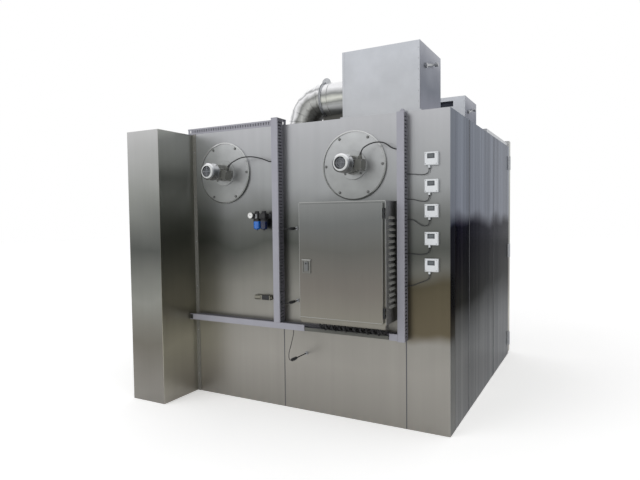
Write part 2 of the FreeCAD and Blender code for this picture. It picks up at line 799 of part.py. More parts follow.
# Compressed air set and valve
def air_set():
    """Filter regulator and lubricator on a bracket, with bowls and a gauge."""
    b = air_set_body
    y0 = -air_set_standoff
    half = b / 2
    bodies = []
    bowls = []
    arms = []
    for index in range(2):
        x0 = air_set_side + index * (b + air_set_gap)
        body = block((x0, x0 + b), (y0 - b, y0), (air_set_level - half, air_set_level + half))
        body = soften(body, air_set_round, lambda e: along(e, "z"))
        knob = bar(point(x0 + half, y0 - half, air_set_level + half), Vec(0, 0, 1), knob_radius, knob_height)
        bodies.append(fuse([body, knob]))
        top = point(x0 + half, y0 - half, air_set_level - half)
        bowl = bar(top, Vec(0, 0, -1), bowl_radius, bowl_length - bowl_chamfer)
        tip = Part.makeCone(bowl_radius, bowl_radius - bowl_chamfer, bowl_chamfer,
                            top - Vec(0, 0, bowl_length - bowl_chamfer), Vec(0, 0, -1))
        bowls.append(fuse([bowl, tip]))
        arms.append(block((x0 + half - air_set_arm_width / 2, x0 + half + air_set_arm_width / 2),
                          (y0, -air_set_plate_thickness),
                          (air_set_level - air_set_arm_height / 2, air_set_level + air_set_arm_height / 2)))
    keep("air_set_bodies", bodies)
    keep("air_set_bowls", bowls)
    gauge = bar(point(air_set_side, y0 - b, air_set_level + gauge_rise), Vec(0, -1, 0), gauge_radius, gauge_depth)
    keep("pressure_gauge", [gauge])
    back = block((air_set_side, air_set_side + 2 * b + air_set_gap), (-air_set_plate_thickness, 0),
                 (air_set_level - air_set_plate_height / 2, air_set_level + air_set_plate_height / 2))
    keep("air_set_bracket", [fuse([back] + arms)])


def valve():
    """Small air valve with a round coil on its left."""
    valve_side = left_trunk_side - valve_trunk_gap - valve_width
    body = block((valve_side, valve_side + valve_width), (-valve_depth, 0),
                 (valve_level - valve_height / 2, valve_level + valve_height / 2))
    coil = bar(point(valve_side, -valve_coil_radius, valve_level), Vec(-1, 0, 0), valve_coil_radius, valve_coil_length)
    keep("air_valve", [fuse([body, coil])])


# Roof
def exhaust_box(x, y):
    """Closed sheet box on a foot flange."""
    z0 = body_height
    box = block((x, x + box_width), (y, y + box_depth), (z0, z0 + box_height))
    box = soften(box, box_sheet_round, lambda e: along(e, "z"))
    w = box_foot_width
    foot = block((x - w, x + box_width + w), (y - w, y + box_depth + w), (z0, z0 + box_foot_height))
    return fuse([box, foot])


def roof_boxes():
    """Front and rear exhaust boxes; the rear one has an air slot in its front."""
    keep("exhaust_box_front", [exhaust_box(front_box_side, front_box_setback)])
    box = exhaust_box(rear_box_side, rear_box_setback)
    x0 = rear_box_side + intake_side
    z1 = body_height + box_height - intake_drop
    slot = block((x0, x0 + intake_width), (rear_box_setback, rear_box_setback + intake_sink), (z1 - intake_height, z1))
    keep("exhaust_box_rear", [box.cut(slot)])


def damper_levers():
    """Damper shaft boss, lever and knob on the right side of each box, the knob end raised."""
    levers = []
    for x, y in ((front_box_side, front_box_setback), (rear_box_side, rear_box_setback)):
        side = x + box_width
        z = body_height + damper_level
        y0 = y + damper_setback
        boss = bar(point(side, y0, z), Vec(1, 0, 0), damper_boss_radius, damper_boss_length)
        lever = block((side + damper_boss_length, side + damper_boss_length + damper_lever_thickness),
                      (y0 - damper_lever_tail, y0 + damper_lever_length), (z - damper_lever_width / 2, z + damper_lever_width / 2))
        knob = bar(point(side + damper_boss_length + damper_lever_thickness,
                         y0 + damper_lever_length - damper_knob_radius, z),
                   Vec(1, 0, 0), damper_knob_radius, damper_knob_length)
        shape = fuse([boss, lever, knob])
        shape.rotate(point(side, y0, z), Vec(1, 0, 0), damper_lever_tilt)
        levers.append(shape)
    keep("damper_levers", levers)


def round_duct():
    """Round exhaust duct: straight run, flange rings and a segmented elbow down to the roof."""
    y = front_box_setback + box_depth / 2
    z = body_height + pipe_rise
    start_x = elbow_centre + elbow_radius
    run_start = start_x + 2 * ring_thickness + ring_gap
    run = bar(point(run_start, y, z), Vec(1, 0, 0), pipe_radius, front_box_side - run_start)
    keep("exhaust_duct", [run])
    rings = [bar(point(start_x + k * (ring_thickness + ring_gap), y, z), Vec(1, 0, 0), ring_radius, ring_thickness)
             for k in range(2)]
    hub = bar(point(start_x, y, z), Vec(1, 0, 0), pipe_radius, 2 * ring_thickness + ring_gap)
    elbow = segmented_elbow(y, z, start_x)
    foot_length = z - elbow_radius - body_height
    collar = bar(point(elbow_centre, y, body_height), Vec(0, 0, 1), pipe_radius + roof_collar_lap, roof_collar_thickness)
    stub = bar(point(elbow_centre, y, body_height), Vec(0, 0, 1), pipe_radius, foot_length)
    keep("duct_elbow", [elbow])
    keep("duct_flanges", [fuse(rings + [hub]), fuse([collar, stub])])


def segmented_elbow(y, z, start_x):
    """Lobster-back elbow: mitred straight segments that touch the true bend, with raised seams."""
    centre = Vec(left + start_x, front + y, z - elbow_radius)
    step = 90.0 / elbow_segments
    path = [point(start_x, y, z)]
    reach = elbow_radius / math.cos(math.radians(step / 2))
    for index in range(elbow_segments):
        turn = math.radians((index + 0.5) * step)
        path.append(centre + Vec(-reach * math.sin(turn), 0, reach * math.cos(turn)))
    path.append(point(elbow_centre, y, z - elbow_radius))
    wire = Part.makePolygon(path)
    ring = Part.Wire(Part.makeCircle(pipe_radius, path[0], Vec(1, 0, 0)))
    return wire.makePipeShell([ring], True, False, 1)


def roof_run():
    """Closed cable run along the right edge of the roof."""
    x1 = body_width - roof_run_inset
    run = block((x1 - roof_run_width, x1), (rear_door_front - roof_run_length, rear_door_front),
                (body_height, body_height + roof_run_height))
    keep("roof_cable_run", [run])


# Wall probes
def probes():
    """Temperature probes through the front wall, each with a nut, a stem and a round head."""
    solids = []
    for x, z, reach in probe_places:
        nut = prism(point(x, 0, z), Vec(0, -1, 0), probe_nut_width, probe_nut_length)
        stem = bar(point(x, 0, z), Vec(0, -1, 0), probe_stem_radius, reach - probe_head_length)
        head = bar(point(x, probe_head_length - reach, z), Vec(0, -1, 0), probe_head_radius, probe_head_length)
        solids.append(fuse([nut, stem, head]))
    keep("wall_probes", solids)


# Cables
def cord(name, points, diameter):
    """Round cable along straight runs joined by tangent arcs."""
    edges = []
    start = points[0]
    length = 0.0
    tightest = None
    for before, corner, after in zip(points, points[1:], points[2:]):
        run_in = corner - before
        run_out = after - corner
        run = min(run_in.Length, run_out.Length)
        a = Vec(run_in).normalize()
        b = Vec(run_out).normalize()
        turn = a.getAngle(b)
        tangent = 0.45 * run
        radius = tangent / math.tan(turn / 2)
        tightest = radius if tightest is None else min(tightest, radius)
        first = corner - a * tangent
        last = corner + b * tangent
        inward = (b - a).normalize()
        middle = corner + inward * (radius / math.cos(turn / 2) - radius)
        edges.append(Part.LineSegment(start, first).toShape())
        edges.append(Part.Arc(first, middle, last).toShape())
        length += (first - start).Length + radius * turn
        start = last
    edges.append(Part.LineSegment(start, points[-1]).toShape())
    length += (points[-1] - start).Length
    ring = polygon(points[0], points[1] - points[0], diameter / 2, cable_sides)
    tube = Part.Wire(edges).makePipeShell([ring], True, False)
    wanted = Part.Face(ring).Area * length
    print("cord", name, "length %.0f" % length, "tightest %.0f" % tightest, "volume ratio %.4f" % (tube.Volume / wanted))
    return tube


def between(start, end, ways):
    """Route points from shares of the way between two points, each with its own rise above the start."""
    step = end - start
    return [Vec(start.x + share * step.x, start.y + share * step.y, start.z + rise) for share, rise in ways]


def motor_cables():
    """Cables from the elbow glands of the motors into the upright trunking."""
    ways = (
        ("motor_cable_left", left_trunk_side, 23.0,
         ((0.134, 43), (0.266, 66), (0.419, 73), (0.579, 68), (0.729, 53), (0.84, 36))),
        ("motor_cable_right", right_trunk_side, 27.0,
         ((0.16, 62), (0.33, 79), (0.50, 82), (0.66, 73))),
    )
    for index, (name, side, rise, shares) in enumerate(ways):
        bend, out = gland_bend(index)
        start = bend + out * gland_elbow_length
        end = point(side, trunk_entry, 0)
        end.z = start.z + rise
        last = end - Vec(motor_cable_start, 0, 0)
        points = [start, start + out * motor_cable_start] + between(start, end, shares) + [last, end]
        keep(name, [cord(name, points, motor_cable_diameter)])


def transmitter_cables():
    """Short leads from the transmitters into the right trunking; drops are below each gland."""
    side = right_trunk_side + right_trunk_width
    x0 = transmitter_centre + transmitter_gland_shift
    ways = (
        ((0, -21), (-14, -39), (-40, -45), (-77, -42), (-117, -36), (side - x0, -36)),
        ((0, -21), (-14, -39), (-40, -44), (-77, -37), (-117, -26), (side - x0, -26)),
        ((0, -21), (-14, -40), (-40, -43), (-70, -30), (-98, -8), (-126, 4), (side - x0, 4)),
        ((0, -21), (-15, -40), (-41, -48), (-78, -50), (-117, -46), (side - x0, -46)),
        ((0, -21), (-14, -40), (-38, -52), (-72, -64), (-105, -79), (-130, -88), (side - x0, -88)),
    )
    for index, drop in enumerate(transmitter_drops):
        low = body_height - drop - transmitter_height / 2 - transmitter_gland_length
        start = point(x0, -transmitter_depth / 2, low)
        name = "transmitter_cable_%d" % (index + 1)
        points = [start] + [start + Vec(x, 0, z) for x, z in ways[index]]
        keep(name, [cord(name, points, transmitter_cable_diameter)])


def probe_cables():
    """Leads from the wall probes into the trunking."""
    side = left_trunk_side + left_trunk_width
    entry = trunk_entry - 10
    ways = (
        ("probe_cable_upper", ((0, -23, 0), (-15, -41, -2), (-38, -37, -5), (-56, -16, -8)),
         ((44, -28, -11), (26, 0, -13), (0, 0, -13)), (side, entry)),
        ("probe_cable_middle", ((0, -23, 0), (-15, -41, -3), (-38, -38, -8), (-57, -17, -13)),
         ((44, -38, -15), (26, 0, -17), (0, 0, -17)), (side, entry)),
        ("probe_cable_lower", ((0, -21, 0), (-3, -36, 16), (-4, -38, 43), (-6, -27, 69), (-11, -2, 91), (-27, 40, 112),
                               (-46, 84, 131), (-64, 127, 149)),
         ((0, 0, 166), (0, 0, bottom_trunk_level - low_probe_level)), (probe_x - 11, -52)),
    )
    for (x, z, reach), (name, steps, arrival, (x1, y1)) in zip(probe_places, ways):
        start = point(x, -reach, z)
        end = point(x1, y1, z)
        points = [start] + [start + Vec(*step) for step in steps] + [end + Vec(*step) for step in arrival]
        keep(name, [cord(name, points, probe_cable_diameter)])


def cabinet_cables():
    """Cables from the glands under the cabinet that curve back into the open trunking."""
    cables = []
    for index in range(cabinet_gland_count):
        top = cabinet_gland_point(index, cabinet_gland_length)
        drop = cabinet_level - cabinet_gland_length - bottom_trunk_level - bottom_trunk_height / 2
        points = [top, top - Vec(0, 0, drop), top + Vec(0, cabinet_cable_reach, -drop)]
        cables.append(cord("cabinet_cable_%d" % (index + 1), points, cabinet_cable_diameter))
    keep("cabinet_cables", cables)


front_panels()
side_panels()
corner_strip()
side_housing()
rear_doors()
fans()
trunking()
cabinet()
transmitters()
air_set()
valve()
roof_boxes()
damper_levers()
round_duct()
roof_run()
probes()
motor_cables()
transmitter_cables()
probe_cables()
cabinet_cables()

os.makedirs("parts", exist_ok=True)
triangles = 0
for name, solids in pieces.items():
    for solid in solids:
        if not solid.isValid() or len(solid.Solids) != 1:
            print("check", name, solid.isValid(), len(solid.Solids))
    shape = Part.makeCompound(solids)
    shape.exportStep("parts/" + name + ".step")
    triangles += len(shape.tessellate(0.5)[1])
print("nodes", len(pieces), "triangles about", triangles)
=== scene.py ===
"""Hot air circulation oven: its cables, finishes and small fittings, with a plain studio round it.

Sizes and places are in millimetres where nothing else is said, and spot() turns a place into Blender's metres.
"""

from __future__ import annotations

import logging
import math
from collections.abc import Iterable, Sequence
from dataclasses import dataclass
from enum import Enum

import bmesh
import bpy
from mathutils import Matrix, Vector


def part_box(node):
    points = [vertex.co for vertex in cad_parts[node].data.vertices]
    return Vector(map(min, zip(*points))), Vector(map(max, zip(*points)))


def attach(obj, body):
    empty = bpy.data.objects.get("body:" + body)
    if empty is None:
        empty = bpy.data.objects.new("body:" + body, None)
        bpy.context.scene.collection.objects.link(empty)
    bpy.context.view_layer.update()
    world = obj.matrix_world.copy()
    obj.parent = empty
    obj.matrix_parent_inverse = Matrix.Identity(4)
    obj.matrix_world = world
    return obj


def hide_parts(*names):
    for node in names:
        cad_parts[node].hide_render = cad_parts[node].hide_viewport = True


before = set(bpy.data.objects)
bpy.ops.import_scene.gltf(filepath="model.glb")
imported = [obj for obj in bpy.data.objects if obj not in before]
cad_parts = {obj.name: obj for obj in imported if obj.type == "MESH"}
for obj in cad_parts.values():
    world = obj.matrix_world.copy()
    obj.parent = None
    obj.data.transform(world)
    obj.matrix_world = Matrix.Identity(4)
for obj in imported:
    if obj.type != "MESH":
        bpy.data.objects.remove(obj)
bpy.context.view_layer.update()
log = logging.getLogger("oven")

# Short names for types: a node's output or input, tone stops, and a place or a stretch along X, Y and Z
Socket = bpy.types.NodeSocket
Tones = Sequence[tuple[float, str]]
Point = tuple[float, float, float]

# Sizes of the solids that several sub-assemblies share, in millimetres
BODY_WIDTH = 2200.0
BODY_DEPTH = 2500.0
BODY_HEIGHT = 2200.0
SEAM_ONE = 893.2
SEAM_TWO = 1892.88
MM = 0.001

LEFT = Vector((-1, 0, 0))
RIGHT = Vector((1, 0, 0))
AHEAD = Vector((0, -1, 0))
BACK = Vector((0, 1, 0))
UP = Vector((0, 0, 1))
DOWN = Vector((0, 0, -1))


class Carrier(Enum):
    """The body that a piece rides on."""

    OVEN = "oven"
    DOOR = "door"


class Grain(Enum):
    """Which way the rolling or brushing lines of a sheet run, as a stretch along X, Y and Z."""

    UPRIGHT = (1.0, 1.0, 0.02)
    EVEN = (1.0, 1.0, 1.0)


def spot(x: float, y: float, z: float) -> Vector:
    """A point in metres, from millimetres off the body's left edge, its front face and the floor."""
    return Vector((x - BODY_WIDTH / 2, y - BODY_DEPTH / 2, z)) * MM


def arm(degrees: float) -> Vector:
    """Unit arm in the plane of the front, turned upwards from the right."""
    turn = math.radians(degrees)
    return Vector((math.cos(turn), 0, math.sin(turn)))


def level_arm(degrees: float) -> Vector:
    """Unit arm in a level plane, turned backwards from the right."""
    turn = math.radians(degrees)
    return Vector((math.cos(turn), math.sin(turn), 0))


def linear(code: str) -> tuple[float, float, float, float]:
    """Turn an sRGB hex colour to linear.

    Args:
        code: Colour as "#rrggbb".

    Returns:
        Red, green, blue and alpha, linear.
    """
    parts = [int(code[i:i + 2], 16) / 255 for i in (1, 3, 5)]
    return (*[p / 12.92 if p <= 0.04045 else ((p + 0.055) / 1.055) ** 2.4 for p in parts], 1.0)


def add_node(
    tree: bpy.types.NodeTree,
    kind: str,
    values: dict[str | int, object] | None = None,
    links: dict[str | int, Socket] | None = None,
    **settings: object,
) -> bpy.types.Node:
    """Add one node with its settings, input values and links.

    Args:
        tree: Tree that gets the node.
        kind: Blender's name of the node's type.
        values: Input name or index, to the value that it holds.
        links: Input name or index, to the output that feeds it.
        settings: Properties of the node itself.

    Returns:
        The new node.
    """
    node = tree.nodes.new(kind)
    for name, value in settings.items():
        setattr(node, name, value)
    for name, value in (values or {}).items():
        node.inputs[name].default_value = value
    for name, output in (links or {}).items():
        tree.links.new(output, node.inputs[name])
    return node


@dataclass
class Surface:
    """A material in the making: its tree and shader, and where each point lies and faces."""

    tree: bpy.types.NodeTree
    shader: bpy.types.Node
    place: Socket
    facing: Socket

    def fix(self, values: dict[str, object]) -> None:
        """Set inputs of the shader to fixed values."""
        for name, value in values.items():
            self.shader.inputs[name].default_value = value

    def feed(self, name: str, output: Socket) -> None:
        """Let an output drive one input of the shader."""
        self.tree.links.new(output, self.shader.inputs[name])

    def patches(self, size_mm: float, stretch: Point = Grain.EVEN.value, detail: float = 2.0) -> Socket:
        """Cloudy pattern whose patches have a real size.

        Args:
            size_mm: Width of a patch.
            stretch: How dense the pattern is along X, Y and Z; a small number draws it out.
            detail: Levels of finer pattern.

        Returns:
            A value from 0 to 1, mostly near a half.
        """
        drawn = add_node(self.tree, "ShaderNodeMapping", {"Scale": stretch}, {"Vector": self.place})
        made = add_node(self.tree, "ShaderNodeTexNoise", {"Scale": 1 / (size_mm * MM), "Detail": detail},
                        {"Vector": drawn.outputs["Vector"]})
        return made.outputs["Fac"]

    def spread(self, pattern: Socket, low: float, high: float) -> Socket:
        """Spread a pattern's middle part, from 0.3 to 0.7, over the range from low to high."""
        limits = {"From Min": 0.3, "From Max": 0.7, "To Min": low, "To Max": high}
        return add_node(self.tree, "ShaderNodeMapRange", limits, {"Value": pattern}).outputs["Result"]

    def sway(self, value: Socket, pattern: Socket, reach: float) -> Socket:
        """A value that a pattern moves up and down by as much as a reach."""
        made = add_node(self.tree, "ShaderNodeMath", links={0: value, 1: self.spread(pattern, -reach, reach)})
        return made.outputs["Value"]

    def tones(self, value: Socket, stops: Tones) -> Socket:
        """Colours that follow a value.

        Args:
            value: What picks the colour.
            stops: Value and hex colour of each stop, in rising order.

        Returns:
            The colour output.
        """
        first, last = stops[0][0], stops[-1][0]
        share = add_node(self.tree, "ShaderNodeMapRange", {"From Min": first, "From Max": last},
                         {"Value": value})
        ramp = add_node(self.tree, "ShaderNodeValToRGB", links={"Fac": share.outputs["Result"]})
        elements = ramp.color_ramp.elements
        elements[0].position, elements[0].color = 0.0, linear(stops[0][1])
        elements[1].position, elements[1].color = 1.0, linear(stops[-1][1])
        for place, code in stops[1:-1]:
            elements.new((place - first) / (last - first)).color = linear(code)
        return ramp.outputs["Color"]

    def colour(self, base: Socket | str, pattern: Socket, low: float, high: float) -> None:
        """Lay the base colour, darker and lighter in patches.

        Args:
            base: Colour output, or one hex colour.
            pattern: Where it changes.
            low: Factor in the dark patches.
            high: Factor in the light patches.
        """
        plain = isinstance(base, str)
        values = {0: linear(base)[:3]} if plain else {}
        links = {} if plain else {0: base}
        links["Scale"] = self.spread(pattern, low, high)
        made = add_node(self.tree, "ShaderNodeVectorMath", values, links, operation="SCALE")
        self.feed("Base Color", made.outputs["Vector"])

    def gloss(self, pattern: Socket, low: float, high: float) -> None:
        """Let a pattern set the roughness between two values."""
        self.feed("Roughness", self.spread(pattern, low, high))

    def relief(self, height: Socket, depth_mm: float, strength: float) -> None:
        """Give the surface the relief of a height pattern.

        Args:
            height: Pattern from 0 to 1.
            depth_mm: Depth of the relief.
            strength: How much of it shows.
        """
        made = add_node(self.tree, "ShaderNodeBump", {"Strength": strength, "Distance": depth_mm * MM},
                        {"Height": height})
        self.feed("Normal", made.outputs["Normal"])


# Finishes
@dataclass(frozen=True)
class Finish:
    """One real material with its surface."""

    name: str
    slot: str

    def material(self) -> bpy.types.Material:
        """The Blender material, made on first use.

        Returns:
            The material of this finish's name.
        """
        found = bpy.data.materials.get(self.name)
        if found:
            return found
        made = bpy.data.materials.new(self.name)
        made.use_nodes = True
        tree = made.node_tree
        tree.nodes.clear()
        shader = add_node(tree, "ShaderNodeBsdfPrincipled")
        add_node(tree, "ShaderNodeOutputMaterial", links={"Surface": shader.outputs["BSDF"]})
        coords = add_node(tree, "ShaderNodeTexCoord")
        self.dress(Surface(tree, shader, coords.outputs["Object"], coords.outputs["Normal"]))
        return made

    def dress(self, skin: Surface) -> None:
        """Set up the surface; each kind of finish has its own."""
        raise NotImplementedError


@dataclass(frozen=True)
class PaintedShadePatch:
    """Painted shade: a duller, warmer patch low on the sheets to the right of a seam."""

    start: float
    low: float
    high: float
    tint: str = "#b0a690"
    side_fade: float = 20.0
    foot_fade: float = 40.0
    head_fade: float = 160.0

    def over(self, skin: Surface, across: Socket, height: Socket, colour: Socket) -> Socket:
        """Lay the patch over a colour.

        Args:
            skin: Material in the making.
            across: Place from left to right, in metres.
            height: Height with its waver, in metres.
            colour: Colour outside the patch.

        Returns:
            The colour with the patch.
        """
        seam = self.start - BODY_WIDTH / 2
        fades = ((height, self.low - self.foot_fade, self.low + self.foot_fade),
                 (height, self.high, self.high - self.head_fade),
                 (across, seam - self.side_fade, seam + self.side_fade))
        share = None
        for value, outside, inside in fades:
            fade = add_node(skin.tree, "ShaderNodeMapRange",
                            {"From Min": outside * MM, "From Max": inside * MM}, {"Value": value},
                            interpolation_type="SMOOTHSTEP").outputs["Result"]
            share = fade if share is None else add_node(
                skin.tree, "ShaderNodeMath", links={0: share, 1: fade}, operation="MULTIPLY").outputs["Value"]
        tint = skin.tones(share, ((0.0, "#ffffff"), (1.0, self.tint)))
        return add_node(skin.tree, "ShaderNodeVectorMath", links={0: colour, 1: tint},
                        operation="MULTIPLY").outputs["Vector"]


@dataclass(frozen=True)
class SheetSteel(Finish):
    """Rolled sheet metal with painted reflections: its tone changes with height, one set of tones for each way
    that it faces.
    """

    tones: Tones
    side_shade_and_reflection_tones: Tones = ()
    grain: Grain = Grain.UPRIGHT
    streak_width: float = 60.0
    streaks: float = 0.025
    waver: float = 120.0
    waver_length: float = 550.0
    line_gap: float = 4.0
    roughness: tuple[float, float] = (0.32, 0.38)
    rims: Tones = ()
    painted_shade_patch: PaintedShadePatch | None = None

    def dress(self, skin: Surface) -> None:
        """Painted reflection and shade tones by height, soft streaks along the sheet, and fine rolling lines in
        gloss and relief.

        Args:
            skin: Material in the making.
        """
        axes = add_node(skin.tree, "ShaderNodeSeparateXYZ", links={"Vector": skin.place})
        # The sheet is never quite flat, so the painted reflection tones waver over about half a metre
        height = skin.sway(axes.outputs["Z"], skin.patches(self.waver_length), self.waver / 2 * MM)
        colour = self.by_height(skin, height, self.tones)
        # Faces that turn to the right get their own tones of painted shade and reflection
        if self.side_shade_and_reflection_tones:
            facing = add_node(skin.tree, "ShaderNodeSeparateXYZ", links={"Vector": skin.facing})
            side = self.by_height(skin, height, self.side_shade_and_reflection_tones)
            # The Mix node holds its share in input 0, its colours in 6 and 7, and the mixed colour in output 2
            mixed = add_node(skin.tree, "ShaderNodeMix", links={0: facing.outputs["X"], 6: colour, 7: side},
                             data_type="RGBA")
            colour = mixed.outputs[2]
        # Painted shade: a darker, warmer patch over part of the sheet
        if self.painted_shade_patch:
            colour = self.painted_shade_patch.over(skin, axes.outputs["X"], height, colour)
        streak = skin.patches(self.streak_width, self.grain.value, 3.0)
        skin.colour(colour, streak, 1 - self.streaks, 1 + self.streaks)
        skin.fix({"Metallic": 1.0})
        # Painted reflection: the tint of the grazing reflection changes with height
        if self.rims:
            skin.feed("Specular Tint", self.by_height(skin, height, self.rims))
        # Rolling lines are about 0.3 mm apart, drawn 4 mm apart so that they show
        lines = skin.patches(self.line_gap, self.grain.value)
        skin.gloss(lines, *self.roughness)
        skin.relief(lines, 0.1, 0.05)

    def by_height(self, skin: Surface, height: Socket, tones: Tones) -> Socket:
        """Colours that follow the height, from stops in millimetres."""
        return skin.tones(height, [(level * MM, code) for level, code in tones])


@dataclass(frozen=True)
class PolishedRound(Finish):
    """Polished round wall with painted reflections: bands by how far it faces up, from 0 at its foot to 1 at
    its top.
    """

    bands: Tones
    crumple: float = 0.10
    metallic: float = 1.0
    dent_width: float = 110.0

    def dress(self, skin: Surface) -> None:
        """Painted reflection tones by the way that the wall faces, broken up by shallow dents.

        Args:
            skin: Material in the making.
        """
        facing = add_node(skin.tree, "ShaderNodeSeparateXYZ", links={"Vector": skin.facing})
        dents = skin.patches(self.dent_width, detail=3.0)
        turned = skin.sway(facing.outputs["Z"], dents, self.crumple)
        skin.feed("Base Color", skin.tones(turned, [(2 * share - 1, code) for share, code in self.bands]))
        skin.fix({"Metallic": self.metallic, "Roughness": 0.16})
        skin.relief(dents, 2.0, 0.25)


@dataclass(frozen=True)
class PolishedBend(Finish):
    """Polished sheet round an elbow: bands of painted reflection that follow the bend, from 0 inside it to 1
    outside.
    """

    bands: Tones
    axis: tuple[float, float] = (1140.0, 2218.0)
    reach: tuple[float, float] = (70.0, 320.0)
    crumple: float = 0.07
    dent_width: float = 90.0

    def dress(self, skin: Surface) -> None:
        """Painted reflection tones by the distance from the bend's axis, broken up where the sheet is crumpled.

        Args:
            skin: Material in the making.
        """
        middle = spot(self.axis[0], 0.0, self.axis[1])
        away = add_node(skin.tree, "ShaderNodeVectorMath", {1: tuple(middle)}, {0: skin.place},
                        operation="SUBTRACT")
        for step, values in (("MULTIPLY", {1: (1.0, 0.0, 1.0)}), ("LENGTH", {})):
            away = add_node(skin.tree, "ShaderNodeVectorMath", values, {0: away.outputs["Vector"]},
                            operation=step)
        share = add_node(skin.tree, "ShaderNodeMapRange",
                         {"From Min": self.reach[0] * MM, "From Max": self.reach[1] * MM},
                         {"Value": away.outputs["Value"]})
        dents = skin.patches(self.dent_width, detail=3.0)
        moved = skin.sway(share.outputs["Result"], dents, self.crumple)
        skin.feed("Base Color", skin.tones(moved, self.bands))
        skin.fix({"Metallic": 0.6, "Roughness": 0.22})
        skin.relief(dents, 2.0, 0.2)


@dataclass(frozen=True)
class TurnedDisc(Finish):
    """Round plate with the fine rings that turning and polishing leave."""

    tones: Tones
    centres: tuple[Point, Point]
    radius: float
    ring_gap: float = 8.0
    patch_mm: float = 90.0
    roughness: tuple[float, float] = (0.30, 0.42)

    def dress(self, skin: Surface) -> None:
        """Painted light tones down each disc, from 0 at its foot to 1 at its top, and rings about its centre in
        gloss.

        Args:
            skin: Material in the making.
        """
        axes = add_node(skin.tree, "ShaderNodeSeparateXYZ", links={"Vector": skin.place})
        foot = self.centres[0][2] - self.radius
        stops = [((foot + 2 * self.radius * share) * MM, code) for share, code in self.tones]
        patches = skin.patches(self.patch_mm, detail=4.0)
        skin.colour(skin.tones(axes.outputs["Z"], stops), patches, 0.93, 1.07)
        skin.fix({"Metallic": 0.7})
        gaps = (add_node(skin.tree, "ShaderNodeVectorMath", {1: spot(*centre)}, {0: skin.place},
                         operation="DISTANCE").outputs["Value"] for centre in self.centres)
        nearest = add_node(skin.tree, "ShaderNodeMath", links=dict(enumerate(gaps)), operation="MINIMUM")
        # Turning lines are under 1 mm apart, drawn 8 mm apart so that they show
        turns = add_node(skin.tree, "ShaderNodeMath", {1: 2 * math.pi / (self.ring_gap * MM)},
                         {0: nearest.outputs["Value"]}, operation="MULTIPLY")
        wave = add_node(skin.tree, "ShaderNodeMath", links={0: turns.outputs["Value"]}, operation="SINE")
        rings = add_node(skin.tree, "ShaderNodeMapRange",
                         {"From Min": -1.0, "To Min": self.roughness[0], "To Max": self.roughness[1]},
                         {"Value": wave.outputs["Value"]})
        skin.feed("Roughness", rings.outputs["Result"])


@dataclass(frozen=True)
class PlainMetal(Finish):
    """Small machined, plated or cast metal part."""

    colour: str
    roughness: float
    grit_mm: float = 1.5
    mottle: float = 0.10
    metallic: float = 1.0
    patch_mm: float = 25.0

    def dress(self, skin: Surface) -> None:
        """Slight mottle in the plating and a fine grit in the relief.

        Args:
            skin: Material in the making.
        """
        patches = skin.patches(self.patch_mm, detail=3.0)
        skin.colour(self.colour, patches, 1 - self.mottle, 1 + self.mottle)
        skin.fix({"Metallic": self.metallic})
        grit = skin.patches(self.grit_mm)
        skin.gloss(grit, self.roughness - 0.05, self.roughness + 0.08)
        skin.relief(grit, 0.1, 0.2)


@dataclass(frozen=True)
class PaintedMetal(Finish):
    """Sprayed enamel on cast or pressed metal."""

    colour: str
    roughness: float = 0.42
    grime: float = 0.14
    patch_mm: float = 40.0
    peel_mm: float = 1.5

    def dress(self, skin: Surface) -> None:
        """Orange peel in the relief, and oily dust that dulls the colour in patches.

        Args:
            skin: Material in the making.
        """
        dust = skin.patches(self.patch_mm, detail=4.0)
        skin.colour(self.colour, dust, 1 - self.grime, 1 + self.grime / 2)
        skin.gloss(dust, self.roughness - 0.06, self.roughness + 0.12)
        skin.relief(skin.patches(self.peel_mm), 0.08, 0.35)


@dataclass(frozen=True)
class MouldedPlastic(Finish):
    """Injection moulded or extruded plastic."""

    colour: str
    roughness: float = 0.5
    variation: float = 0.04
    grain_mm: float = 0.8
    mark_mm: float = 130.0

    def dress(self, skin: Surface) -> None:
        """Even colour with faint handling marks, and the mould's spark-eroded texture.

        Args:
            skin: Material in the making.
        """
        marks = skin.patches(self.mark_mm, detail=4.0)
        skin.colour(self.colour, marks, 1 - self.variation, 1 + self.variation)
        skin.gloss(marks, self.roughness - 0.05, self.roughness + 0.08)
        skin.relief(skin.patches(self.grain_mm), 0.05, 0.3)


@dataclass(frozen=True)
class ClearPlastic(Finish):
    """Tinted polycarbonate or glass, shown by its gloss."""

    colour: str
    coat: float = 1.0
    patch_mm: float = 60.0

    def dress(self, skin: Surface) -> None:
        """Deep colour under a glossy skin, a little darker in soft patches."""
        skin.colour(self.colour, skin.patches(self.patch_mm), 0.85, 1.12)
        skin.fix({"Roughness": 0.12, "IOR": 1.58, "Coat Weight": self.coat})


@dataclass(frozen=True)
class PaleScreed(Finish):
    """Smooth pale screed: nearly white with very faint clouds."""

    cloud_mm: float = 1500.0
    own_light: float = 0.28

    def dress(self, skin: Surface) -> None:
        """Faint clouds, and a little own light for the camera alone, so that the far floor stays white.

        Args:
            skin: Material in the making.
        """
        clouds = skin.patches(self.cloud_mm)
        skin.feed("Base Color", skin.tones(clouds, ((0.3, "#fafafa"), (0.7, "#fefefe"))))
        path = add_node(skin.tree, "ShaderNodeLightPath")
        glow = add_node(skin.tree, "ShaderNodeMath", {1: self.own_light}, {0: path.outputs["Is Camera Ray"]},
                        operation="MULTIPLY")
        skin.feed("Emission Strength", glow.outputs["Value"])
        skin.fix({"Roughness": 0.9, "Emission Color": linear("#ffffff")})


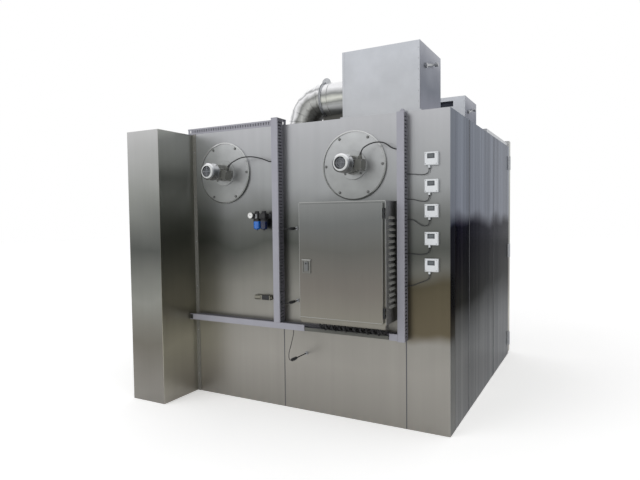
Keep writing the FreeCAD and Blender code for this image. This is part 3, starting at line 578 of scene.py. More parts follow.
# Brushed stainless sheet: soft grey, with painted reflections by height, light near the roof, dark at chest
# height, warmer towards the floor, and painted shade low right of the second seam
PANEL_STEEL = SheetSteel(
    "stainless_brushed_sheet", "stainless_panel",
    tones=((400.0, "#a4a19b"), (950.0, "#888781"), (1250.0, "#565854"),
           (1480.0, "#707270"), (1720.0, "#9c9e9f"), (2200.0, "#b7b8bb")),
    side_shade_and_reflection_tones=((0.0, "#a9a8a3"), (500.0, "#8e8e8a"), (880.0, "#43423f"),
                (1400.0, "#2f2e35"), (1520.0, "#7b7f87"), (2200.0, "#858a91")),
    painted_shade_patch=PaintedShadePatch(SEAM_TWO, 640.0, 1160.0),
    rims=((0.0, "#b4b6bc"), (600.0, "#a6a8ac"), (880.0, "#8f9196"), (1400.0, "#8f9196"), (1500.0, "#b4b6bc")),
)
# The same sheet on the air housing, with its own painted reflection tones: its cheek beside the front looks
# dark olive, because it faces the front
HOUSING_STEEL = SheetSteel(
    "stainless_housing_sheet", "stainless_panel",
    tones=((0.0, "#9d9a95"), (500.0, "#78756d"), (850.0, "#8d8e88"),
           (1250.0, "#5a5c59"), (1700.0, "#90928e"), (2200.0, "#c0c0c0")),
    side_shade_and_reflection_tones=((0.0, "#b0aca4"), (450.0, "#c4c2b2"), (720.0, "#928f80"),
                (1000.0, "#7b7a70"), (1320.0, "#6f7068"), (2200.0, "#a3a5a0")),
)
# Bright rolled sheet on the right wall: mirror-like, with upright ripples; painted reflections give it strong
# upright streaks and a dark lower half
WALL_STEEL = SheetSteel(
    "stainless_bright_rolled_sheet", "stainless_panel",
    tones=((0.0, "#8a8985"), (1100.0, "#74736e"), (2200.0, "#b1b2b4")),
    side_shade_and_reflection_tones=((0.0, "#b4b3ae"), (450.0, "#a9a8a3"), (860.0, "#585650"),
                (1430.0, "#4b484c"), (1530.0, "#7f838b"), (2200.0, "#868b92")),
    streak_width=110.0, streaks=0.42, waver=90.0, roughness=(0.14, 0.20),
    rims=((0.0, "#b4b6bc"), (600.0, "#a6a8ac"), (880.0, "#8a8b8d"), (1400.0, "#858689"), (1510.0, "#b4b6bc")),
)
# Stainless cabinet: finer brushing, with painted reflections by height, darkest at mid height and warmer low
# down; its sides have their own painted shade tones
CABINET_STEEL = SheetSteel(
    "stainless_cabinet_sheet", "stainless_panel",
    tones=((765.0, "#8a877e"), (1000.0, "#79756f"), (1250.0, "#686864"),
           (1450.0, "#717372"), (1595.0, "#868887")),
    side_shade_and_reflection_tones=((765.0, "#8f8e89"), (1300.0, "#93938f"), (1595.0, "#a3a4a2")),
    waver=60.0, roughness=(0.34, 0.42),
)
# Galvanised sheet: pale blue-grey with cloudy spangle, painted a little lighter towards the top, with painted
# shade on the sides, darkest at mid height
BOX_STEEL = SheetSteel(
    "galvanised_cloudy_sheet", "grey_sheet_paint",
    tones=((2200.0, "#bbbdc0"), (2675.0, "#c8cbd1")),
    side_shade_and_reflection_tones=((2200.0, "#a0a1aa"), (2400.0, "#8b8e96"), (2560.0, "#a1a3aa"), (2675.0, "#c0c1c6")),
    grain=Grain.EVEN, streak_width=140.0, streaks=0.05, roughness=(0.42, 0.50),
    rims=((2200.0, "#b0b2b8"), (2675.0, "#b6b8be")),
)
# Polished round duct with painted reflections, as a bright cylinder shows them: white top, dark band at half
# height, pale foot
DUCT_STEEL = PolishedRound(
    "stainless_polished_duct", "bright_stainless",
    bands=((0.05, "#8d8e8c"), (0.22, "#dcdddb"), (0.32, "#848683"), (0.41, "#e2e3da"), (0.55, "#858786"),
           (0.76, "#f4f4f6")), crumple=0.05, metallic=0.55,
)
# The same sheet round the elbow, with painted reflections: white along its outer back, grey and crumpled
# halfway, dark inside
ELBOW_STEEL = PolishedBend(
    "stainless_polished_elbow", "bright_stainless",
    bands=((0.22, "#5a5a56"), (0.36, "#bdbebb"), (0.52, "#80817f"), (0.69, "#f2f2f4"), (0.79, "#9fa0a1"),
           (0.88, "#f8f8fa")),
)
# Pressed cowl of polished aluminium, with a painted highlight white along its top and painted shade below
COWL_STEEL = PolishedRound(
    "aluminium_polished_cowl", "motor_cowl_paint",
    bands=((0.0, "#5d5a55"), (0.35, "#686a6c"), (0.55, "#7d8085"), (0.68, "#e0e2e6"), (0.84, "#fafafc")),
    crumple=0.03, metallic=0.6,
)
# Turned edge of a thick plate: a painted highlight on top, painted shade towards the floor
RIM_STEEL = PolishedRound(
    "steel_turned_rim", "fan_plate_steel",
    bands=((0.0, "#5c5d5b"), (0.30, "#6b6c6a"), (0.50, "#8c8e8c"), (0.72, "#d2d3d4"), (1.0, "#e6e7e8")),
    crumple=0.02,
)
# Shallow bevel round a turned plate: a painted highlight as a light arc at its top, painted shade at its foot
BEVEL_STEEL = PolishedRound(
    "steel_turned_bevel", "fan_plate_steel",
    bands=((0.36, "#6c6d6b"), (0.48, "#8f918f"), (0.53, "#a2a4a3"), (0.61, "#c8c9c9")),
    crumple=0.01, metallic=0.7,
)
# Turned steel plates: satin, with painted light that makes them lighter at the top
PLATE_STEEL = TurnedDisc(
    "steel_turned_plate", "fan_plate_steel",
    tones=((0.0, "#9a9c9b"), (0.35, "#a1a3a3"), (0.6, "#aaacad"), (1.0, "#c0c2c3")),
    centres=((342.1, 0.0, 1857.0), (1507.0, 0.0, 1857.0)), radius=248.0,
)
# Painted highlight: a soft light line along folded and chamfered edges
EDGE_HIGHLIGHT = PlainMetal("stainless_painted_edge_highlight", "bright_stainless", "#adaeac", 0.32, mottle=0.05)
# Bead-blasted louvre hoods: they scatter light, so their sloping tops show pale
LOUVRE_STEEL = PlainMetal("stainless_blasted_louvre", "stainless_panel", "#7f807c", 0.5, metallic=0.25)
# Bead-blasted corner strip, paler than the panels on either side of it
STRIP_STEEL = PlainMetal("stainless_blasted_strip", "stainless_panel", "#83827d", 0.5, metallic=0.4)
# Satin lock plate, close to the door in tone
LOCK_STEEL = PlainMetal("stainless_satin_lock", "bright_stainless", "#7d7d79", 0.40)
# Hand-polished stainless of pulls and the gauge's bezel: bright and smooth
POLISHED_STEEL = PlainMetal("stainless_polished_fitting", "bright_stainless", "#b4b4b2", 0.24, mottle=0.06)
# Zinc plated brackets, hinges and bolts: bluish, slightly cloudy
ZINC = PlainMetal("zinc_plated_steel", "zinc_plate", "#a6a8ab", 0.36)
# Oiled bolt heads: dull grey dots on the plates
BOLT_STEEL = PlainMetal("steel_oiled_bolt", "zinc_plate", "#7a7b7a", 0.40)
# Clamp rings and cable run: satin galvanised sheet
FLANGE_STEEL = PlainMetal("galvanised_flange", "zinc_plate", "#b9bbbe", 0.40)
# Nickel plate of the air valve, dull and close to the panel in tone
VALVE_NICKEL = PlainMetal("nickel_plated_valve", "brass_valve", "#8a887e", 0.42)
# Grey enamel on the cast motor frame, dusty between the fins
MOTOR_ENAMEL = PaintedMetal("enamel_motor_grey", "motor_paint", "#959693")
# Enamel of the terminal boxes, painted darker than the motor's as painted shade, for boxes that face away from
# the light
SHADED_BOX_ENAMEL = PaintedMetal("enamel_terminal_grey_painted_shade", "motor_paint", "#5f605c")
# Satin turned face of the motor flange, paler than its plate
FLANGE_FACE = PlainMetal("steel_turned_flange", "fan_plate_steel", "#aeb0b0", 0.38, mottle=0.06, metallic=0.7)
# Blackened hinges and their pins: near black with a slight sheen
HINGE_STEEL = PlainMetal("steel_blackened_hinge", "zinc_plate", "#3c3d3e", 0.42)
# Grey enamelled swing handle of the lock, satin
HANDLE_GREY = PaintedMetal("enamel_handle_grey", "motor_paint", "#696b6b", 0.45)
# White enamelled ring round the cowl's grille
LID_ENAMEL = PaintedMetal("enamel_lid_white", "motor_cowl_paint", "#d6d8d8", 0.36)
# Rigid PVC trunking: lavender grey, matt
TRUNK_PVC = MouldedPlastic("pvc_trunking_grey", "trunking_plastic", "#9a9aa3", 0.48)
# The slotted walls of the trunking: darker than its covers
COMB_PVC = MouldedPlastic("pvc_trunking_comb", "trunking_plastic", "#626269", 0.55)
# Rigid PVC of the low lip, grey-brown, and dark also as painted shadow below the trunking
LIP_PVC_AND_SHADOW = MouldedPlastic("pvc_trunking_lip_and_painted_shadow", "trunking_plastic", "#5b5c57", 0.6)
# ABS housings of the transmitters: cool white
WHITE_ABS = MouldedPlastic("abs_white", "white_plastic", "#d8dbde", 0.42)
# Glass filled nylon: black with a slight sheen
BLACK_NYLON = MouldedPlastic("nylon_black", "black_plastic", "#1d1e20", 0.44)
# Moulded bezels and lid seams of the transmitters: smooth dark grey
WINDOW_GREY = MouldedPlastic("display_bezel_grey", "black_plastic", "#3b3f44", 0.30)
# Liquid crystal field under a clear cover: dull slate grey with a sheen
DISPLAY_FIELD = ClearPlastic("display_field_grey", "white_plastic", "#50565a", 0.6)
# Black PVC sheath, nearly matt
BLACK_SHEATH = MouldedPlastic("pvc_sheath_black", "cable_sheath", "#17181a", 0.46, grain_mm=1.0)
# Charcoal PVC sheath of the thin measuring leads, nearly matt
GREY_SHEATH = MouldedPlastic("pvc_sheath_charcoal", "grey_cable_sheath", "#2a2b2d", 0.48, grain_mm=1.0)
# Blue polycarbonate bowl: deep clear blue under a glossy skin
BLUE_BOWL = ClearPlastic("polycarbonate_blue", "blue_bowl", "#1f66bc", 0.3)
# Smoked polycarbonate bowl beside it: near black with a blue cast
NAVY_BOWL = ClearPlastic("polycarbonate_navy", "blue_bowl", "#0f1a3c", 0.3)
# White enamelled dial: bright and smooth
DIAL_WHITE = PaintedMetal("enamel_dial_white", "white_plastic", "#e4e5e4", 0.3, 0.03)
# Sealant in the seams between panels: dull grey rubber
SEALANT = MouldedPlastic("silicone_seam_grey", "black_plastic", "#55565a", 0.6)
# Painted shade inside the louvres and the roof box's slot: it reads as an unlit opening
SLOT_SHADE = PaintedMetal("painted_shade_slot", "black_plastic", "#2d313c", 0.7)
# Support under the duct in matt dark grey paint, dark also as painted shadow under the run
SADDLE_GREY_AND_SHADOW = PaintedMetal("support_grey_and_painted_shadow", "motor_paint", "#5a5954", 0.6)

# The finish of every solid that is shown
NODE_FINISHES: dict[str, Finish] = {
    "air_set_bodies": BLACK_NYLON, "air_set_bowls": BLUE_BOWL, "air_set_bracket": ZINC,
    "air_valve": VALVE_NICKEL, "cabinet_cables": BLACK_SHEATH, "cabinet_door": CABINET_STEEL,
    "cabinet_door_knuckles": HINGE_STEEL, "cabinet_glands": BLACK_NYLON, "cabinet_hinges": HINGE_STEEL,
    "cabinet_lock": LOCK_STEEL, "cabinet_louvres": LOUVRE_STEEL, "cabinet_mounting_plate": ZINC,
    "cabinet_shell": CABINET_STEEL, "chamber_wall_left": PANEL_STEEL, "corner_cover_strip": STRIP_STEEL,
    "damper_levers": ZINC, "duct_elbow": ELBOW_STEEL, "duct_flanges": FLANGE_STEEL,
    "exhaust_box_front": BOX_STEEL, "exhaust_box_rear": BOX_STEEL, "exhaust_duct": DUCT_STEEL,
    "fan_motors": MOTOR_ENAMEL, "fan_plates": PLATE_STEEL, "front_panels": PANEL_STEEL,
    "motor_cowls": COWL_STEEL, "oven_floor": PANEL_STEEL, "pressure_gauge": BLACK_NYLON,
    "rear_door_frame": WALL_STEEL, "rear_door_hinges": ZINC, "rear_door_pulls": POLISHED_STEEL,
    "rear_doors": HOUSING_STEEL, "roof_cable_run": FLANGE_STEEL, "roof_panels": PANEL_STEEL,
    "side_housing_front": HOUSING_STEEL, "side_housing_panels": HOUSING_STEEL,
    "side_panels_right": WALL_STEEL, "terminal_boxes": SHADED_BOX_ENAMEL, "transmitter_glands": WHITE_ABS,
    "transmitters": WHITE_ABS, "trunking_bottom": COMB_PVC, "trunking_covers": TRUNK_PVC,
    "trunking_left": COMB_PVC, "trunking_right": COMB_PVC, "trunking_top": TRUNK_PVC,
    "wall_probes": BLACK_NYLON,
}


# Mesh making
# Edges that turn by more than the first angle are bevelled, and those past the second are shaded sharp
SHARP_TURN = 0.7
SMOOTH_LIMIT = math.radians(34)


def aim(start: Vector, direction: Vector) -> Matrix:
    """Placement that stands a shape's Z axis at a point, along a direction."""
    return Matrix.Translation(start) @ direction.to_track_quat("Z", "Y").to_matrix().to_4x4()


class Shape:
    """Working mesh that gathers the parts of one piece."""

    def __init__(self) -> None:
        """Start empty."""
        self.mesh = bmesh.new()

    def soften(self, verts: Iterable[bmesh.types.BMVert], size: float, segments: int) -> None:
        """Bevel the sharp edges of one part.

        Args:
            verts: Its vertices.
            size: Width of the bevel in metres.
            segments: Steps across the bevel.
        """
        # A dict keeps each edge once and in order, so that every run gives the same mesh
        touching = dict.fromkeys(edge for vert in verts for edge in vert.link_edges)
        edges = [e for e in touching if len(e.link_faces) == 2 and e.calc_face_angle() > SHARP_TURN]
        bmesh.ops.bevel(self.mesh, geom=edges, offset=size, offset_type="OFFSET", segments=segments,
                        profile=0.5, affect="EDGES", clamp_overlap=True, material=-1)

    def block(self, low: Vector, high: Vector, soft: float = 0.0, segments: int = 2) -> None:
        """Add an upright block.

        Args:
            low: Lowest corner.
            high: Highest corner.
            soft: Bevel in millimetres.
            segments: Steps across the bevel.
        """
        place = Matrix.LocRotScale((low + high) / 2, None, high - low)
        made = bmesh.ops.create_cube(self.mesh, size=1.0, matrix=place)
        if soft:
            self.soften(made["verts"], soft * MM, segments)

    def bar(self, start: Vector, direction: Vector, radius: float, length: float, sides: int = 24,
            end_radius: float | None = None, soft: float = 0.0) -> None:
        """Add a round, six-sided or tapered bar.

        Args:
            start: Middle of its first end, in metres.
            direction: Where it points.
            radius: Radius at the first end, in millimetres.
            length: Length in millimetres.
            sides: Number of sides.
            end_radius: Radius at the far end, where it tapers.
            soft: Bevel in millimetres.
        """
        place = aim(start, direction) @ Matrix.Translation((0, 0, length / 2 * MM))
        end = radius if end_radius is None else end_radius
        made = bmesh.ops.create_cone(self.mesh, cap_ends=True, cap_tris=False, segments=sides,
                                     radius1=radius * MM, radius2=end * MM, depth=length * MM, matrix=place)
        if soft:
            self.soften(made["verts"], soft * MM, 2)

    def turned(self, start: Vector, direction: Vector, outline: Sequence[tuple[float, float]],
               steps: int = 48) -> None:
        """Add a part turned on a lathe.

        Args:
            start: Point on its axis, in metres.
            direction: Axis, out of the oven's surface.
            outline: Radius and distance along the axis of each point, in millimetres.
            steps: Sides round the axis.
        """
        before = set(self.mesh.verts)
        verts = [self.mesh.verts.new((radius * MM, 0, along * MM)) for radius, along in outline]
        edges = [self.mesh.edges.new(pair) for pair in zip(verts, verts[1:])]
        bmesh.ops.spin(self.mesh, geom=verts + edges, cent=(0, 0, 0), axis=(0, 0, 1), angle=2 * math.pi,
                       steps=steps, use_merge=True, use_duplicate=False)
        bmesh.ops.remove_doubles(self.mesh, verts=[v for v in self.mesh.verts if v not in before], dist=1e-6)
        bmesh.ops.transform(self.mesh, matrix=aim(start, direction),
                            verts=[v for v in self.mesh.verts if v not in before])

    def bolt(self, start: Vector, direction: Vector, width: float, height: float) -> None:
        """Add a hexagon head on its washer.

        Args:
            start: Where it sits, in metres.
            direction: Out of the surface.
            width: Across the corners, in millimetres.
            height: Height of the head.
        """
        self.bar(start, direction, width * 0.62, height * 0.25, sides=16)
        self.bar(start + direction * (height * 0.25 * MM), direction, width / 2, height * 0.75, sides=6,
                 soft=height * 0.12)

    def screw(self, start: Vector, direction: Vector, width: float) -> None:
        """Add a low domed screw head with a sunk middle.

        Args:
            start: Where it sits, in metres.
            direction: Out of the surface.
            width: Head diameter in millimetres.
        """
        r = width / 2
        outline = ((1.0, 0.0), (0.92, 0.28), (0.6, 0.5), (0.34, 0.55), (0.2, 0.3), (0.0, 0.3))
        self.turned(start, direction, [(r * aside, r * along) for aside, along in outline], steps=12)

    def finish(self, name: str, coat: Finish, carrier: Carrier = Carrier.OVEN,
               replaced: Sequence[str] = ()) -> None:
        """Make the piece, as an object at the origin.

        Args:
            name: Name of the piece.
            coat: Its finish.
            carrier: The body that it rides on.
            replaced: Solids that it stands for.
        """
        bmesh.ops.recalc_face_normals(self.mesh, faces=self.mesh.faces)
        data = bpy.data.meshes.new(name)
        self.mesh.to_mesh(data)
        self.mesh.free()
        data.shade_smooth()
        data.set_sharp_from_angle(angle=SMOOTH_LIMIT)
        data.materials.append(coat.material())
        made = bpy.data.objects.new(name, data)
        bpy.context.scene.collection.objects.link(made)
        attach(made, carrier.value)
        if replaced:
            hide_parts(*replaced)
        log.info("%s: %d faces", name, len(data.polygons))


# Cables
def draw_cables(name: str, coat: Finish, radius: float,
                routes: Iterable[tuple[Sequence[Sequence[float]], float]],
                fineness: tuple[int, int]) -> bpy.types.Object:
    """Draw round cables in one object, each on one smooth spline.

    Args:
        name: Name of the object.
        coat: Finish of the sheath.
        radius: Radius at a thickness of 1, in metres.
        routes: Control points in metres and the thickness of each cable.
        fineness: Steps round a quarter of the sheath and along each stretch.

    Returns:
        The object, at the origin.
    """
    curve = bpy.data.curves.new(name, "CURVE")
    curve.dimensions = "3D"
    curve.bevel_depth = radius
    curve.bevel_resolution, curve.resolution_u = fineness
    curve.use_fill_caps = True
    for route, thickness in routes:
        spline = curve.splines.new("NURBS")
        spline.points.add(len(route) - 1)
        for control, place in zip(spline.points, route):
            control.co = (*place, 1.0)
            control.radius = thickness
        spline.order_u = 3
        spline.use_endpoint_u = True
    curve.materials.append(coat.material())
    made = bpy.data.objects.new(name, curve)
    bpy.context.scene.collection.objects.link(made)
    return made


@dataclass(frozen=True)
class Lead:
    """One cable: its sizes and route in metres, straight out of the gland and into the trunking."""

    name: str
    diameter: float
    length: float
    coat: Finish
    route: tuple[Point, ...]

    def build(self) -> None:
        made = draw_cables(self.name + "_sheath", self.coat, self.diameter / 2, [(self.route, 1.0)], (5, 16))
        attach(made, Carrier.OVEN.value)
        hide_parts(self.name)
        log.info("%s: cable of %.0f mm", self.name, self.length / MM)


# Routes chosen along the cables of the photograph, the same points as in the solids' source
MOTOR_LEADS = (
    Lead("motor_cable_left", 0.009, 0.433, BLACK_SHEATH, (
        (-0.65027, -1.348, 1.89581), (-0.62618, -1.348, 1.92256), (-0.59633, -1.34157, 1.93881),
        (-0.54321, -1.33523, 1.96181), (-0.48163, -1.32789, 1.96881), (-0.41724, -1.32021, 1.96381),
        (-0.35687, -1.31301, 1.94881), (-0.31219, -1.30768, 1.93181), (-0.2838, -1.3, 1.91881),
        (-0.2478, -1.3, 1.91881))),
    Lead("motor_cable_right", 0.009, 0.32, BLACK_SHEATH, (
        (0.49911, -1.348, 1.91806), (0.50659, -1.348, 1.95327), (0.54083, -1.34032, 1.98006),
        (0.58516, -1.33216, 1.99706), (0.62949, -1.324, 2.00006), (0.67122, -1.31632, 1.99106),
        (0.72388, -1.3, 1.94506), (0.75988, -1.3, 1.94506))),
)
TRANSMITTER_LEADS = (
    Lead("transmitter_cable_1", 0.005, 0.186, GREY_SHEATH, (
        (0.96188, -1.266, 1.811), (0.96188, -1.266, 1.79), (0.94788, -1.266, 1.772), (0.92188, -1.266, 1.766),
        (0.88488, -1.266, 1.769), (0.84488, -1.266, 1.775), (0.80488, -1.266, 1.775))),
    Lead("transmitter_cable_2", 0.005, 0.187, GREY_SHEATH, (
        (0.96188, -1.266, 1.63), (0.96188, -1.266, 1.609), (0.94788, -1.266, 1.591), (0.92188, -1.266, 1.586),
        (0.88488, -1.266, 1.593), (0.84488, -1.266, 1.604), (0.80488, -1.266, 1.604))),
    Lead("transmitter_cable_3", 0.005, 0.197, GREY_SHEATH, (
        (0.96188, -1.266, 1.464), (0.96188, -1.266, 1.443), (0.94788, -1.266, 1.424),
        (0.92188, -1.266, 1.421), (0.89188, -1.266, 1.434), (0.86388, -1.266, 1.456),
        (0.83588, -1.266, 1.468), (0.80488, -1.266, 1.468))),
    Lead("transmitter_cable_4", 0.005, 0.187, GREY_SHEATH, (
        (0.96188, -1.266, 1.278), (0.96188, -1.266, 1.257), (0.94688, -1.266, 1.238), (0.92088, -1.266, 1.23),
        (0.88388, -1.266, 1.228), (0.84488, -1.266, 1.232), (0.80488, -1.266, 1.232))),
    Lead("transmitter_cable_5", 0.005, 0.196, GREY_SHEATH, (
        (0.96188, -1.266, 1.099), (0.96188, -1.266, 1.078), (0.94788, -1.266, 1.059), (0.92388, -1.266, 1.047),
        (0.88988, -1.266, 1.035), (0.85688, -1.266, 1.02), (0.83188, -1.266, 1.011), (0.80488, -1.266, 1.011))),
)
PROBE_LEADS = (
    Lead("probe_cable_upper", 0.005, 0.187, GREY_SHEATH, (
        (-0.0788, -1.351, 1.40493), (-0.0788, -1.374, 1.40493), (-0.0938, -1.392, 1.40293),
        (-0.1168, -1.388, 1.39993), (-0.1348, -1.367, 1.39693), (-0.1548, -1.338, 1.39393),
        (-0.1728, -1.31, 1.39193), (-0.1988, -1.31, 1.39193))),
    Lead("probe_cable_middle", 0.005, 0.198, GREY_SHEATH, (
        (-0.0788, -1.363, 0.84883), (-0.0788, -1.386, 0.84883), (-0.0938, -1.404, 0.84583),
        (-0.1168, -1.401, 0.84083), (-0.1358, -1.38, 0.83583), (-0.1548, -1.348, 0.83383),
        (-0.1728, -1.31, 0.83183), (-0.1988, -1.31, 0.83183))),
    Lead("probe_cable_lower", 0.005, 0.346, GREY_SHEATH, (
        (-0.0078, -1.465, 0.447), (-0.0078, -1.486, 0.447), (-0.0108, -1.501, 0.463), (-0.0118, -1.503, 0.49),
        (-0.0138, -1.492, 0.516), (-0.0188, -1.467, 0.538), (-0.0348, -1.425, 0.559), (-0.0538, -1.381, 0.578),
        (-0.0718, -1.338, 0.596), (-0.0898, -1.302, 0.613), (-0.0898, -1.302, 0.638))),
)


@dataclass
class Cables:
    """All free leads, with the tapered reliefs where they leave their glands."""

    leads: tuple[Lead, ...] = MOTOR_LEADS + TRANSMITTER_LEADS + PROBE_LEADS

    def build(self) -> None:
        """Draw each lead and its relief."""
        for lead in self.leads:
            lead.build()
        shape = Shape()
        for lead in self.leads:
            start = Vector(lead.route[0])
            out = (Vector(lead.route[1]) - start).normalized()
            r = lead.diameter / 2 / MM
            shape.turned(start, out, ((r * 0.9, -1.0), (r * 2.1, -1.0), (r * 2.1, 1.5), (r * 1.8, 2.5),
                                      (r * 1.45, r * 3.4), (r * 1.12, r * 4.4), (r * 0.9, r * 4.4)), steps=20)
        shape.finish("lead_reliefs", BLACK_NYLON)


# Panels
@dataclass
class PanelFittings:
    """Sealed seams between the panels and the screws of the cover strip."""

    bead: float = 7.0
    rise: float = 1.2
    sunk: float = 1.0
    soft: float = 0.8
    end_gap: float = 2.0
    side_seams: tuple[float, float] = (550.0, 1550.0)
    roof_seam: tuple[float, float] = (120.0, BODY_WIDTH - 4.0)
    housing_width: float = 342.0
    housing_height: float = 2195.0
    housing_rise: float = 0.4
    strip_middle: float = 17.5
    strip_thickness: float = 3.0
    first_screw: int = 150
    screw_pitch: int = 380
    screw_width: float = 9.0

    def build(self) -> None:
        """Lay every bead and set the screws."""
        beads = Shape()
        half = self.bead / 2
        foot = self.end_gap
        head = BODY_HEIGHT - self.end_gap
        cheek = -self.housing_width
        for x in (SEAM_ONE, SEAM_TWO):
            beads.block(spot(x - half, -self.rise, foot), spot(x + half, self.sunk, head), self.soft)
        for y in self.side_seams:
            beads.block(spot(BODY_WIDTH - self.sunk, y - half, foot),
                        spot(BODY_WIDTH + self.rise, y + half, head), self.soft)
            beads.block(spot(self.roof_seam[0], y - half, BODY_HEIGHT - self.sunk),
                        spot(self.roof_seam[1], y + half, BODY_HEIGHT + self.rise), self.soft)
            beads.block(spot(cheek - self.housing_rise, y - half, foot),
                        spot(cheek + self.sunk, y + half, self.housing_height - self.end_gap), self.soft)
        beads.finish("seam_beads", SEALANT)
        screws = Shape()
        for z in range(self.first_screw, int(BODY_HEIGHT), self.screw_pitch):
            screws.screw(spot(self.strip_middle, -self.strip_thickness, z), AHEAD, self.screw_width)
        screws.finish("cover_strip_screws", ZINC)


# Fans
@dataclass
class FanFittings:
    """Bolts, rims, cowl rings and terminal box lids of both circulation fans."""

    centres: tuple[float, float] = (342.1, 1507.0)
    level: float = 1857.0
    plate_radius: float = 248.0
    plate_face: float = 12.0
    rim_face: float = 16.0
    bolt_circle: float = 222.0
    bolt_width: float = 17.0
    bolt_height: float = 8.0
    flange_radius: float = 103.0
    flange_face: float = 24.0
    flange_circle: float = 86.0
    flange_bolt: float = 14.0
    cowl_radius: float = 65.0
    cowl_end: float = 236.0
    grille_radius: float = 46.0
    band_setback: float = 76.0
    screw_setback: float = 64.0
    cowl_screw: float = 11.0
    box_turns: tuple[float, float] = (106.0, 95.0)
    box_middle: float = 98.0
    box_low: float = 63.3
    box_height: float = 42.0
    lid_thickness: float = 7.7
    lid_holes: tuple[float, float] = (31.0, 34.0)
    lid_screw: float = 8.0
    gland_out: float = 37.0
    gland_drop: float = 0.3

    def build(self) -> None:
        """Build each group of fittings for both fans."""
        self.plates()
        self.motors()
        self.terminal_boxes()

    def plates(self) -> None:
        """Six bolts on each plate, its bevel, and the dull wall round its edge."""
        bolts = Shape()
        rims = Shape()
        walls = Shape()
        r = self.plate_radius
        for x in self.centres:
            for step in range(6):
                place = spot(x, -self.plate_face, self.level) + arm(60 * step) * (self.bolt_circle * MM)
                bolts.bolt(place, AHEAD, self.bolt_width, self.bolt_height)
            face = spot(x, -self.rim_face, self.level)
            rims.turned(face, AHEAD, ((r - 9.0, -0.2), (r - 8.6, 2.3), (r + 0.3, 0.1), (r + 0.4, -0.6)), 96)
            walls.turned(face, AHEAD, ((r + 0.3, -0.4), (r + 0.6, -1.2), (r + 0.6, -15.5)), 96)
        bolts.finish("fan_plate_bolts", BOLT_STEEL)
        rims.finish("fan_plate_rims", BEVEL_STEEL)
        walls.finish("fan_plate_walls", RIM_STEEL)

    def motors(self) -> None:
        """White cowl rings, cowl bands and screws, flange faces and their bolts."""
        rings = Shape()
        flanges = Shape()
        bands = Shape()
        bolts = Shape()
        g = self.grille_radius
        c = self.cowl_radius
        f = self.flange_radius
        for x in self.centres:
            rings.turned(spot(x, -self.cowl_end, self.level), AHEAD,
                         ((g - 3.0, 0.0), (g - 2.0, 1.8), (g + 2.0, 1.4), (g + 9.0, -5.4), (g + 9.6, -7.4)), 64)
            bands.turned(spot(x, self.band_setback - self.cowl_end, self.level), AHEAD,
                         ((c - 0.5, -4.0), (c + 2.2, -3.0), (c + 2.2, 3.0), (c - 0.5, 4.0)), 64)
            neck = spot(x, self.screw_setback - self.cowl_end, self.level)
            flange = spot(x, -self.flange_face, self.level)
            for step in range(4):
                out = arm(45 + 90 * step)
                bolts.screw(neck + out * (c * MM), out, self.cowl_screw)
                bolts.bolt(flange + out * (self.flange_circle * MM), AHEAD, self.flange_bolt, self.bolt_height)
            flanges.turned(flange, AHEAD, ((f - 35.0, 0.0), (f - 34.5, 0.8), (f - 1.5, 0.8), (f + 0.4, -1.0),
                                           (f + 0.4, -11.5)), 72)
        rings.finish("motor_cowl_rings", LID_ENAMEL)
        bands.finish("motor_cowl_bands", COWL_STEEL)
        flanges.finish("motor_flange_faces", FLANGE_FACE)
        bolts.finish("motor_bolts", BOLT_STEEL)

    def terminal_boxes(self) -> None:
        """Raised panel and four screws on each lid, and the gland's nut."""
        lids = Shape()
        screws = Shape()
        nuts = Shape()
        for x, turn in zip(self.centres, self.box_turns):
            tilt = Matrix.Rotation(math.radians(turn), 3, "Y")
            up = tilt @ UP
            across = tilt @ RIGHT
            centre = spot(x, -self.box_middle, self.level)
            lid = centre + up * ((self.box_low + self.box_height + self.lid_thickness) * MM)
            for side in (-1, 1):
                for way in (-1, 1):
                    aside = across * (side * self.lid_holes[0] * MM) + BACK * (way * self.lid_holes[1] * MM)
                    screws.screw(lid + aside, up, self.lid_screw)
            lids.turned(lid, up, ((0.0, 1.6), (22.0, 1.4), (26.0, 0.4), (27.0, 0.0)), 4)
            middle = centre + up * ((self.box_low + self.box_height / 2 - self.gland_drop) * MM)
            nuts.turned(middle - across * (self.gland_out * MM), -across,
                        ((8.0, 0.0), (13.4, 0.0), (13.4, 6.0), (11.0, 7.5), (8.0, 7.5)), 6)
        lids.finish("terminal_lid_panels", SHADED_BOX_ENAMEL)
        screws.finish("terminal_lid_screws", ZINC)
        nuts.finish("terminal_gland_nuts", BLACK_NYLON)


